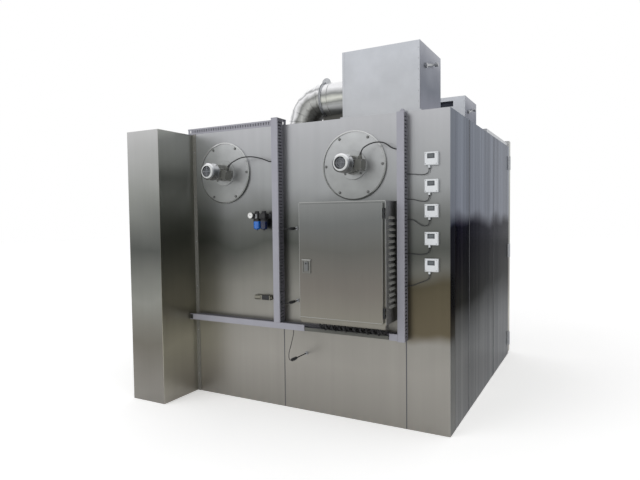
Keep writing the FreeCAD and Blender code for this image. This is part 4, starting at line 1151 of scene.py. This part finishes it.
# Round duct
@dataclass
class DuctFittings:
    """Raised seams of the elbow, clamp rings with their lug, beads of the straight run."""

    centre_x: float = 945.0
    centre_y: float = 277.5
    axis_level: float = 2413.0
    bend: float = 195.0
    radius: float = 125.0
    seam_turns: tuple[float, ...] = (9.0, 27.0, 45.0, 63.0, 81.0)
    bead_places: tuple[float, float] = (1200.0, 1395.0)
    ring_radius: float = 136.0
    flange_x: float = 1140.0
    collar_circle: float = 138.0
    collar_rise: float = 6.0
    collar_screws: int = 8
    collar_screw: float = 11.0
    saddle_ends: tuple[float, float] = (1122.0, 1404.0)
    saddle_width: float = 40.0
    saddle_top: float = 2300.0
    lug_offset: Point = (20.0, -27.0, 127.0)
    lug_radius: float = 37.0
    lug_thickness: float = 6.0

    def build(self) -> None:
        """Build the seams, the rings, the roof collar's screws and the support."""
        self.seams()
        self.clamp_rings()
        self.support()

    def seams(self) -> None:
        """Raised seams between the elbow's segments, and rolled beads on the straight run."""
        seams = Shape()
        r = self.radius
        middle = spot(self.centre_x + self.bend, self.centre_y, self.axis_level - self.bend)
        reach = self.bend / math.cos(math.radians(self.seam_turns[0]))
        for turn in self.seam_turns:
            seams.turned(middle + arm(90.0 + turn) * (reach * MM), arm(turn),
                         ((r - 3, -5.0), (r + 2.5, -3.0), (r + 3.5, 0.0), (r + 2.5, 3.0), (r - 3, 5.0)), 72)
        beads = Shape()
        for x in self.bead_places:
            beads.turned(spot(x, self.centre_y, self.axis_level), RIGHT,
                         ((r - 1, -6.0), (r + 3.5, -4.0), (r + 3.5, 4.0), (r - 1, 6.0)), 72)
        seams.finish("duct_seams", ELBOW_STEEL)
        beads.finish("duct_beads", DUCT_STEEL)

    def clamp_rings(self) -> None:
        """Pair of clamp rings between elbow and run, the collar on the roof and its screws."""
        rings = Shape()
        r = self.ring_radius
        rings.turned(spot(self.flange_x, self.centre_y, self.axis_level), RIGHT,
                     ((124.0, 0.0), (r - 1.0, 0.0), (r, 1.0), (r, 5.0), (127.5, 6.0), (127.5, 10.0),
                      (r, 11.0), (r, 15.0), (r - 1.0, 16.0), (124.0, 16.0)), 96)
        collar = spot(self.centre_x, self.centre_y, BODY_HEIGHT)
        top = collar + UP * (self.collar_rise * MM)
        rings.turned(collar, UP,
                     ((0.0, 0.2), (149.0, 0.2), (150.0, 1.2), (150.0, 5.0), (149.0, self.collar_rise),
                      (127.0, self.collar_rise), (125.5, 8.0), (125.5, 18.0), (0.0, 18.0)), 96)
        rings.finish("duct_clamp_rings", FLANGE_STEEL, replaced=("duct_flanges",))
        bolts = Shape()
        for step in range(self.collar_screws):
            out = level_arm(360 * (step + 0.5) / self.collar_screws)
            bolts.screw(top + out * (self.collar_circle * MM), UP, self.collar_screw)
        bolts.finish("duct_bolts", ZINC)

    def support(self) -> None:
        """Dark block under the straight run, in part painted shadow, and the round lug of the clamp."""
        saddle = Shape()
        start, end = self.saddle_ends
        half = self.saddle_width / 2
        saddle.block(spot(start, self.centre_y - half, BODY_HEIGHT),
                     spot(end, self.centre_y + half, self.saddle_top), 2.0)
        saddle.finish("duct_saddle", SADDLE_GREY_AND_SHADOW)
        lug = Shape()
        place = spot(self.flange_x, self.centre_y, self.axis_level) + Vector(self.lug_offset) * MM
        lug.bar(place, AHEAD, self.lug_radius, self.lug_thickness, sides=40, soft=1.5)
        lug.finish("duct_flange_lug", FLANGE_STEEL)


# Roof boxes
@dataclass
class RoofFittings:
    """Folded edges, rivets and levers of the exhaust boxes, and the plug above the right trunking."""

    width: float = 578.0
    depth: float = 515.0
    height: float = 475.0
    boxes: tuple[tuple[float, float], ...] = ((1410.0, 20.0), (1288.0, 1868.0))
    fold: float = 18.0
    proud: float = 0.8
    foot: float = 10.0
    rivets: int = 6
    flange_rivet: float = 9.0
    edge_rivet: float = 6.0
    edge_rivet_low: float = 20.0
    edge_rivet_run: float = 430.0
    lever: Point = (17.0, 309.5, 378.8)
    slot_low: Point = (310.0, 36.0, 380.5)
    slot_high: Point = (458.0, 39.5, 434.5)
    plug: Point = (1882.0, -30.0, BODY_HEIGHT - 10.0)

    def build(self) -> None:
        """Build the folds, the rivets, the lever grips, the painted shade in the slot and the plug."""
        folds = Shape()
        rivets = Shape()
        grips = Shape()
        top = BODY_HEIGHT + self.height - 0.3
        foot = BODY_HEIGHT + self.foot
        for x, y in self.boxes:
            front = y - self.proud
            right = x + self.width
            for start in (x - self.proud, right - self.fold):
                end = start + self.fold + self.proud
                folds.block(spot(start, front, foot), spot(end, y + 0.6, top), 0.3, 1)
            folds.block(spot(right - 0.6, front, foot), spot(right + self.proud, y + self.fold, top), 0.3, 1)
            for step in range(self.rivets):
                share = (step + 0.5) / self.rivets
                rivets.screw(spot(x + share * self.width, y - 7, foot), UP, self.flange_rivet)
                rivets.screw(spot(right + 7, y + share * self.depth, foot), UP, self.flange_rivet)
                rise = self.edge_rivet_low + share * self.edge_rivet_run
                rivets.screw(spot(right - self.fold / 2, front, foot + rise), AHEAD, self.edge_rivet)
            grips.turned(spot(right, y, BODY_HEIGHT) + Vector(self.lever) * MM, RIGHT,
                         ((0.0, 13.0), (9.0, 12.5), (12.0, 10.0), (12.3, 3.0), (9.5, 0.0), (0.0, 0.0)), 24)
        folds.finish("box_corner_folds", BOX_STEEL)
        rivets.finish("box_rivets", ZINC)
        grips.finish("damper_grips", SHADED_BOX_ENAMEL)
        corner = spot(*self.boxes[1], BODY_HEIGHT)
        lining = Shape()
        lining.block(corner + Vector(self.slot_low) * MM, corner + Vector(self.slot_high) * MM, 0.5, 1)
        lining.finish("intake_slot_shade", SLOT_SHADE)
        plug = Shape()
        plug.turned(spot(*self.plug), UP,
                    ((0.0, 26.0), (9.0, 25.0), (15.0, 18.0), (19.0, 6.0), (24.0, 0.0), (0.0, 0.0)), 24)
        plug.finish("trunk_end_plug", TRUNK_PVC)


# Cabinet
@dataclass
class CabinetFittings:
    """Lock, hinges, edges, skirt, louvre slots and the cable bundle of the control cabinet."""

    left: float = 1170.2
    right: float = 1829.88
    low: float = 765.0
    high: float = 1595.0
    depth: float = 220.0
    door_face: float = 245.0
    lock_middle: float = 1243.2
    lock_level: float = 1142.0
    lock_plate: float = 2.0
    handle_half: float = 15.0
    hood_half: float = 36.0
    pocket_half: tuple[float, float] = (24.8, 39.8)
    foot_inset: float = 4.0
    foot_height: float = 3.0
    hinge_pin: tuple[float, float] = (1824.88, -243.0)
    hinge_levels: tuple[float, float] = (849.0, 1511.0)
    knuckle_half: float = 33.0
    edge_rise: float = 0.7
    skirt_drop: float = 28.0
    skirt_inset: float = 6.0
    skirt_return: float = 60.0
    sheet: float = 2.0
    lip: tuple[Point, Point] = ((1123.0, -79.5, 638.0), (1790.0, -77.4, 664.0))
    shaded_mouths: tuple[tuple[Point, Point], ...] = (((0.6, -80.7, 638.8), (31.0, -79.4, 677.4)),
                                               ((855.5, -9.0, 2196.0), (898.0, -6.0, 2246.0)))
    louvres: int = 16
    louvre_height: float = 18.0
    slot_inset: float = 6.0
    bundle_radius: float = 5.2
    bundle_full: float = 9.0
    # Place across the front, setback and size of each cable, chosen for an uneven bundle
    bundle: tuple[Point, ...] = (
        (1296, 150, 10), (1322, 132, 8), (1345, 158, 11), (1372, 140, 9), (1400, 166, 8), (1428, 128, 10),
        (1452, 150, 8), (1486, 162, 11), (1510, 138, 8), (1540, 126, 9), (1566, 156, 10), (1596, 134, 8),
        (1618, 164, 9), (1650, 142, 11), (1680, 130, 8), (1704, 158, 8), (1738, 136, 10), (1762, 152, 8),
    )

    def build(self) -> None:
        """Build the door's fittings and the cables below."""
        self.lock()
        self.door_foot()
        self.hinges()
        self.mouth_edges()
        self.skirt()
        self.trunk_ends()
        self.louvre_slots()
        self.cable_bundle()

    def lock(self) -> None:
        """Sunk swing handle with a key barrel, the painted highlight edge above it and the pocket behind it."""
        x = self.lock_middle
        y = -self.door_face - self.lock_plate
        z = self.lock_level
        handle = Shape()
        handle.block(spot(x - self.handle_half, y - 8.5, z - 32),
                     spot(x + self.handle_half, y - 2.5, z + 34), 2.5, 3)
        handle.turned(spot(x, y - 7.5, z + 22), AHEAD,
                      ((12.0, 0.0), (12.0, 2.5), (10.0, 3.5), (6.0, 3.5), (5.0, 1.0), (0.0, 1.0)), 28)
        handle.finish("lock_handle", HANDLE_GREY, Carrier.DOOR)
        hood = Shape()
        hood.block(spot(x - self.hood_half, y - 7.5, z + 44), spot(x + self.hood_half, y + 1.0, z + 50), 1.2)
        hood.finish("lock_hood", EDGE_HIGHLIGHT, Carrier.DOOR)
        aside, above = self.pocket_half
        pocket = Shape()
        pocket.block(spot(x - aside, y - 0.8, z - above), spot(x + aside, y + 0.2, z + above), 0.2, 1)
        pocket.finish("lock_pocket", LOCK_STEEL, Carrier.DOOR)

    def door_foot(self) -> None:
        """Painted highlight along the folded edge at the door's foot."""
        low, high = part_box("cabinet_door")
        inset = self.foot_inset * MM
        foot = Shape()
        foot.block(Vector((low.x + inset, low.y - 0.6 * MM, low.z)),
                   Vector((high.x - inset, low.y + 2.0 * MM, low.z + self.foot_height * MM)), 0.5)
        foot.finish("cabinet_door_foot", EDGE_HIGHLIGHT, Carrier.DOOR)

    def hinges(self) -> None:
        """Dark caps on the hinge pins."""
        caps = Shape()
        for level in self.hinge_levels:
            for way in (UP, DOWN):
                caps.turned(spot(*self.hinge_pin, level) + way * (self.knuckle_half * MM), way,
                            ((6.2, -3.0), (6.6, 0.0), (5.2, 3.0), (0.0, 3.6)), 20)
        caps.finish("hinge_caps", BLACK_NYLON)

    def mouth_edges(self) -> None:
        """Folded edges of the shell's mouth, light as a painted highlight."""
        edges = Shape()
        y = -self.depth
        front = y - self.edge_rise
        for x in (self.left, self.right):
            edges.block(spot(x - 1.5, front, self.low + 4), spot(x + 1.5, y + 3.0, self.high - 4), 0.6)
        edges.block(spot(self.left + 3, front, self.high - 4),
                    spot(self.right - 3, y + 3.0, self.high + self.edge_rise), 0.6)
        edges.finish("cabinet_mouth_edges", EDGE_HIGHLIGHT)

    def skirt(self) -> None:
        """Folded skirt that hides the glands, with its two returns."""
        skirt = Shape()
        y = -self.depth
        foot = self.low - self.skirt_drop
        head = self.low - 0.2
        start = self.left + self.skirt_inset
        end = self.right - self.skirt_inset
        skirt.block(spot(start, y + 1.0, foot), spot(end, y + 1.0 + self.sheet, head), 0.5)
        for x in (start, end - self.sheet):
            skirt.block(spot(x, y + 2.0, foot), spot(x + self.sheet, y + self.skirt_return, head), 0.5)
        skirt.finish("cabinet_skirt", CABINET_STEEL)

    def trunk_ends(self) -> None:
        """Lip along the foot of the open trunking, dark in part as painted shadow, and black blocks of painted
        shade in the open mouths of two of its ends.
        """
        lip = Shape()
        lip.block(*(spot(*corner) for corner in self.lip), 0.8)
        lip.finish("trunk_front_lip", LIP_PVC_AND_SHADOW)
        shaded_mouths = Shape()
        for corners in self.shaded_mouths:
            shaded_mouths.block(*(spot(*corner) for corner in corners), 0.6)
        shaded_mouths.finish("trunk_end_shade", BLACK_NYLON)

    def louvre_slots(self) -> None:
        """Painted shade: dark openings under the pressed hoods."""
        low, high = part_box("cabinet_louvres")
        pitch = (high.z - low.z - self.louvre_height * MM) / (self.louvres - 1)
        inset = self.slot_inset * MM
        slots = Shape()
        for index in range(self.louvres):
            z = low.z + index * pitch
            slots.block(Vector((low.x - 0.4 * MM, low.y + inset, z - 3.5 * MM)),
                        Vector((low.x + 1.2 * MM, high.y - inset, z - 0.5 * MM)), 0.2, 1)
        slots.finish("louvre_openings", SLOT_SHADE)

    def cable_bundle(self) -> None:
        """Held cables that drop from the cabinet and turn back into the open trunking."""
        glands = Shape()
        routes = []
        for x, setback, radius in self.bundle:
            route = ((x, -setback, self.low - 16), (x, -setback - 3, self.low - 46),
                     (x + 6, -setback - 8, self.low - 72), (x + 10, -setback + 24, self.low - 83),
                     (x + 10, -66.0, self.low - 91), (x + 10, -22.0, self.low - 97))
            routes.append(([spot(*place) for place in route], radius / self.bundle_full))
            gland = spot(x, -setback, self.low)
            glands.bar(gland, DOWN, radius + 3.5, 14.0, sides=6, soft=1.0)
            glands.bar(gland + DOWN * (14 * MM), DOWN, radius + 2.0, 12.0, sides=20, end_radius=radius - 2.0)
        made = draw_cables("cabinet_bundle", BLACK_SHEATH, self.bundle_radius * MM, routes, (4, 12))
        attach(made, Carrier.OVEN.value)
        log.info("cabinet_bundle: %d cables", len(self.bundle))
        glands.finish("cabinet_bundle_glands", BLACK_NYLON)


# Transmitters
@dataclass
class TransmitterFittings:
    """Displays, lid seams and corner screws of the five transmitters."""

    centre: float = 2077.88
    levels: tuple[float, ...] = (1871.0, 1690.0, 1524.0, 1338.0, 1159.0)
    width: float = 90.0
    height: float = 88.0
    face: float = 32.0
    lid_joint: float = 13.0
    holes: tuple[float, float] = (36.0, 35.0)
    screw_width: float = 6.0
    bezel: tuple[float, float] = (50.0, 33.0)
    display: tuple[float, float] = (36.0, 21.0)

    def build(self) -> None:
        """Build the fronts."""
        bezels = Shape()
        fields = Shape()
        screws = Shape()
        seams = Shape()
        border = (self.bezel[1] - self.display[1]) / 2
        for z in self.levels:
            x = self.centre
            half = self.bezel[0] / 2
            bezels.block(spot(x - half, -self.face - 0.8, z),
                         spot(x + half, -self.face + 1.6, z + self.bezel[1]), 1.0)
            half = self.display[0] / 2
            fields.block(spot(x - half, -self.face - 1.3, z + border),
                         spot(x + half, -self.face - 0.4, z + border + self.display[1]), 0.3, 1)
            for side in (-1, 1):
                for way in (-1, 1):
                    screws.screw(spot(x + side * self.holes[0], -self.face, z + way * self.holes[1]), AHEAD,
                                 self.screw_width)
            reach = (self.width / 2 + 0.3, self.height / 2 + 0.3)
            seams.block(spot(x - reach[0], -self.lid_joint, z - reach[1]),
                        spot(x + reach[0], -self.lid_joint + 1.2, z + reach[1]), 0.2, 1)
        bezels.finish("display_bezels", WINDOW_GREY)
        fields.finish("display_fields", DISPLAY_FIELD)
        screws.finish("transmitter_screws", ZINC)
        seams.finish("transmitter_lid_seams", WINDOW_GREY)


# Air set, valve and probes
@dataclass
class AirFittings:
    """Gauge face, castings, bowl guards, knob grips, valve nuts and probe collars."""

    side: float = 660.2
    level: float = 1500.0
    body: float = 60.0
    gap: float = 4.0
    standoff: float = 25.0
    gauge_stem: float = 20.0
    gauge_rise: float = 7.0
    tick_circle: float = 15.5
    ticks: int = 11
    first_tick: float = 225.0
    tick_turn: float = 27.0
    needle_turn: float = 130.0
    grip_circle: float = 16.4
    grips: int = 18
    bowl_length: float = 72.0
    strip_start: float = 33.0
    strip_width: float = 13.0
    valve_level: float = 856.0
    valve_middle: float = -17.0
    valve_ports: tuple[float, float] = (785.2, 800.0)
    coil: tuple[Point, Point] = ((708.0, -37.0, 839.0), (776.0, -8.0, 875.5))
    probes: tuple[Point, ...] = ((1021.2, 1404.93, 101.0), (1021.2, 848.83, 113.0), (1092.2, 447.0, 215.0))
    probe_ribs: int = 5
    rib_pitch: float = 6.0
    first_rib: float = 8.0

    def build(self) -> None:
        """Build the gauge, the air set's parts, the valve's and the probes' small parts."""
        self.gauge()
        self.castings()
        self.bowls()
        self.valve()
        self.probe_parts()

    def middle(self, index: int) -> Vector:
        """Middle of one of the two bodies."""
        half = self.body / 2
        return spot(self.side + index * (self.body + self.gap) + half, -self.standoff - half, self.level)

    def gauge(self) -> None:
        """Bright bezel, white dial with ticks, and the needle."""
        face = spot(self.side, -self.standoff - self.body - self.gauge_stem, self.level + self.gauge_rise)
        bezel = Shape()
        bezel.turned(face, AHEAD, ((21.0, -1.0), (21.5, 2.0), (23.5, 2.6), (24.6, 1.0), (24.6, -4.0)), 48)
        bezel.finish("gauge_bezel", POLISHED_STEEL)
        dial = Shape()
        dial.bar(face, AHEAD, 21.4, 0.8, sides=48)
        dial.finish("gauge_dial", DIAL_WHITE)
        marks = Shape()
        for step in range(self.ticks):
            out = arm(self.first_tick - self.tick_turn * step)
            marks.bar(face + AHEAD * (0.9 * MM) + out * (self.tick_circle * MM), out, 0.6, 3.6, sides=4)
        marks.bar(face + AHEAD * (1.4 * MM), arm(self.needle_turn), 0.9, 14.0, sides=4, end_radius=0.3)
        marks.bar(face, AHEAD, 2.6, 2.0, sides=16, soft=0.4)
        marks.finish("gauge_marks", BLACK_NYLON)

    def castings(self) -> None:
        """Both bodies with their necks, bonnets and low knobs, and the light strip on the first."""
        bodies = Shape()
        half = self.body / 2
        corner = Vector((half - 1, half - 1, 20)) * MM
        for index in range(2):
            middle = self.middle(index)
            bodies.block(middle - corner, middle + corner, 5.0, 3)
            bodies.turned(middle + DOWN * (half * MM), UP,
                          ((0.0, 0.0), (27.5, 0.0), (27.5, 7.0), (24.0, 10.5), (0.0, 10.5)), 36)
            bodies.turned(middle + UP * (19 * MM), UP,
                          ((0.0, 0.0), (23.0, 0.0), (22.0, 5.0), (17.0, 7.0), (16.5, 19.0), (14.0, 22.0),
                           (0.0, 22.5)), 36)
        bodies.finish("air_set_castings", BLACK_NYLON, replaced=("air_set_bodies",))
        strip = Shape()
        x = self.side + self.strip_start
        y = -self.standoff - self.body
        strip.block(spot(x, y, self.level - 16), spot(x + self.strip_width, y + 3.0, self.level + 17), 0.8)
        strip.finish("regulator_front_plate", ZINC)

    def bowls(self) -> None:
        """Collars and drains of the bowls, grips of the knobs, and the smoked second bowl."""
        half = self.body / 2
        guards = Shape()
        knobs = Shape()
        drains = Shape()
        for index in range(2):
            middle = self.middle(index)
            top = middle + DOWN * (half * MM)
            guards.turned(top, DOWN, ((28.2, 0.0), (29.4, 0.5), (29.4, 9.0), (28.2, 9.5)), 40)
            drains.bar(top + DOWN * (self.bowl_length * MM), DOWN, 6.0, 9.0, sides=12, end_radius=4.5, soft=0.8)
            for step in range(self.grips):
                out = level_arm(360 * step / self.grips) * (self.grip_circle * MM)
                knobs.bar(middle + UP * ((half - 2) * MM) + out, UP, 1.3, 9.0, sides=6)
        guards.finish("bowl_collars", BLACK_NYLON)
        drains.finish("bowl_drains", BLACK_NYLON)
        knobs.finish("knob_grips", BLACK_NYLON)
        second = Shape()
        second.turned(self.middle(1) + DOWN * (half * MM), DOWN,
                      ((28.3, 9.0), (28.3, 61.0), (26.5, 66.0), (18.3, 72.2), (0.0, 72.6)), 40)
        second.finish("smoked_bowl", NAVY_BOWL)

    def valve(self) -> None:
        """Hexagon nut and collar at the valve's port, and its black coil."""
        nuts = Shape()
        nut, collar = (spot(x, self.valve_middle, self.valve_level) for x in self.valve_ports)
        nuts.bar(nut, RIGHT, 14.0, 12.0, sides=6, soft=1.0)
        nuts.bar(collar, LEFT, 9.0, 3.0, sides=20)
        nuts.finish("valve_nuts", VALVE_NICKEL)
        coil = Shape()
        coil.block(*(spot(*corner) for corner in self.coil), 3.0, 3)
        coil.finish("valve_coil", BLACK_NYLON)

    def probe_parts(self) -> None:
        """Ribbed collars on the probes' heads and plated nuts at the wall."""
        ribs = Shape()
        nuts = Shape()
        for x, z, reach in self.probes:
            for step in range(self.probe_ribs):
                ribs.turned(spot(x, self.first_rib + step * self.rib_pitch - reach, z), AHEAD,
                            ((10.5, -1.8), (12.0, -1.0), (12.0, 1.0), (10.5, 1.8)), 24)
            nuts.turned(spot(x, 0.0, z), AHEAD,
                        ((4.2, 11.5), (9.0, 11.5), (12.4, 9.5), (12.4, 1.0), (14.5, 1.0), (15.0, 0.0)), 6)
        ribs.finish("probe_ribs", BLACK_NYLON)
        nuts.finish("probe_nuts", ZINC)


# Rear doors
@dataclass
class RearFittings:
    """Plain screws on the rear hinges, rosettes under the pulls and the gasket between the doors."""

    hinge_levels: tuple[float, ...] = (170.0, 1110.0, 2030.0)
    hinge_holes: tuple[float, float] = (2360.0, 2440.0)
    hole_pitch: float = 48.0
    hinge_leaf: float = 4.0
    screw_width: float = 9.0
    pulls: tuple[float, float] = (1010.0, 1190.0)
    pull_levels: tuple[float, float] = (920.0, 1180.0)
    gasket: tuple[Point, Point] = ((1098.2, 2401.0, 24.0), (1101.8, 2498.0, 2260.0))

    def build(self) -> None:
        """Set the screws, the rosettes and the gasket."""
        screws = Shape()
        for level in self.hinge_levels:
            for z in (level - self.hole_pitch, level, level + self.hole_pitch):
                for y in self.hinge_holes:
                    screws.screw(spot(BODY_WIDTH + self.hinge_leaf, y, z), RIGHT, self.screw_width)
        screws.finish("rear_hinge_screws", ZINC)
        plates = Shape()
        for x in self.pulls:
            for z in self.pull_levels:
                plates.turned(spot(x, BODY_DEPTH, z), BACK,
                              ((20.0, 0.0), (20.0, 2.0), (18.0, 3.5), (12.0, 3.5)), 32)
        plates.finish("rear_pull_rosettes", POLISHED_STEEL)
        gasket = Shape()
        gasket.block(*(spot(*corner) for corner in self.gasket), 0.5, 1)
        gasket.finish("rear_door_gasket", BLACK_NYLON)


# Studio
@dataclass
class Studio:
    """Pale floor, white surroundings, soft lamps and the camera, with places in metres and turns in degrees."""

    lens: float = 29.577
    sensor: float = 36.0
    camera_place: Point = (1.98954, -4.71220, 1.49819)
    yaw: float = 28.3645
    pitch: float = 2.6292
    roll: float = -0.6566
    ambient: float = 0.74
    floor_reach: float = 30.0
    lamp_target: Point = (0.0, -1.0, 1.2)
    lamps: tuple[tuple[str, Point, float, float], ...] = (
        ("key_panel", (-4.5, -8.0, 5.5), 7.0, 200.0),
        ("fill_panel", (6.0, -6.0, 3.5), 5.0, 60.0),
    )

    def build(self) -> None:
        """Set up the stage."""
        self.camera()
        self.floor()
        self.surroundings()
        for name, place, size, power in self.lamps:
            self.lamp(name, Vector(place), size, power)
        bpy.context.scene.view_settings.view_transform = "Standard"

    def camera(self) -> None:
        """Place the camera at the photograph's eye point."""
        yaw, pitch, roll = (math.radians(v) for v in (self.yaw, self.pitch, self.roll))
        ahead = Vector((-math.sin(yaw) * math.cos(pitch), math.cos(yaw) * math.cos(pitch), -math.sin(pitch)))
        right = Vector((math.cos(yaw), math.sin(yaw), 0))
        up = right.cross(ahead)
        across = right * math.cos(roll) + up * math.sin(roll)
        above = up * math.cos(roll) - right * math.sin(roll)
        data = bpy.data.cameras.new("eye")
        data.lens = self.lens
        data.sensor_width = self.sensor
        data.sensor_fit = "HORIZONTAL"
        data.clip_start, data.clip_end = 0.05, 100.0
        made = bpy.data.objects.new("eye", data)
        turn = Matrix((across, above, -ahead)).transposed().to_4x4()
        made.matrix_world = Matrix.Translation(self.camera_place) @ turn
        bpy.context.scene.collection.objects.link(made)
        bpy.context.scene.camera = made

    def floor(self) -> None:
        """Wide pale floor that keeps the oven's shadow."""
        shape = bmesh.new()
        bmesh.ops.create_grid(shape, x_segments=2, y_segments=2, size=self.floor_reach)
        data = bpy.data.meshes.new("floor")
        shape.to_mesh(data)
        shape.free()
        made = bpy.data.objects.new("floor", data)
        bpy.context.scene.collection.objects.link(made)
        data.materials.append(PaleScreed("screed_pale", "floor").material())

    def surroundings(self) -> None:
        """Even light all round; camera, gloss and glass see plain white."""
        world = bpy.data.worlds.new("surroundings")
        world.use_nodes = True
        tree = world.node_tree
        tree.nodes.clear()
        path = add_node(tree, "ShaderNodeLightPath")
        seen = path.outputs["Is Camera Ray"]
        for ray in ("Is Glossy Ray", "Is Transmission Ray"):
            seen = add_node(tree, "ShaderNodeMath", links={0: seen, 1: path.outputs[ray]},
                            operation="MAXIMUM").outputs["Value"]
        light, white = (
            add_node(tree, "ShaderNodeBackground", {"Color": linear("#ffffff"), "Strength": strength})
            for strength in (self.ambient, 1.0))
        mixed = add_node(tree, "ShaderNodeMixShader",
                         links={0: seen, 1: light.outputs["Background"], 2: white.outputs["Background"]})
        add_node(tree, "ShaderNodeOutputWorld", links={"Surface": mixed.outputs["Shader"]})
        bpy.context.scene.world = world

    def lamp(self, name: str, place: Vector, size: float, power: float) -> None:
        """Hang one soft panel lamp that looks at the oven's middle.

        Args:
            name: Name of the lamp.
            place: Where it hangs.
            size: Its side in metres.
            power: Its power in watts.
        """
        data = bpy.data.lights.new(name, "AREA")
        data.size = size
        data.energy = power
        made = bpy.data.objects.new(name, data)
        # Sheet metal reflects the white surroundings alone, so its written tones show
        made.visible_glossy = False
        aimed = (Vector(self.lamp_target) - place).normalized()
        made.matrix_world = Matrix.Translation(place) @ aimed.to_track_quat("-Z", "Y").to_matrix().to_4x4()
        bpy.context.scene.collection.objects.link(made)


def dress_solids() -> None:
    """Give every carried-over solid its finish."""
    for name, coat in NODE_FINISHES.items():
        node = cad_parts[name]
        node.data.materials.clear()
        node.data.materials.append(coat.material())
        log.info("%s: %s", name, coat.name)


def main() -> None:
    """Build the stage, the cables, the finishes and the fittings, in order."""
    logging.basicConfig(level=logging.INFO, format="%(name)s %(message)s")
    Studio().build()
    Cables().build()
    dress_solids()
    for group in (PanelFittings(), FanFittings(), DuctFittings(), RoofFittings(), CabinetFittings(),
                  TransmitterFittings(), AirFittings(), RearFittings()):
        group.build()


if __name__ == "__main__":
    main()
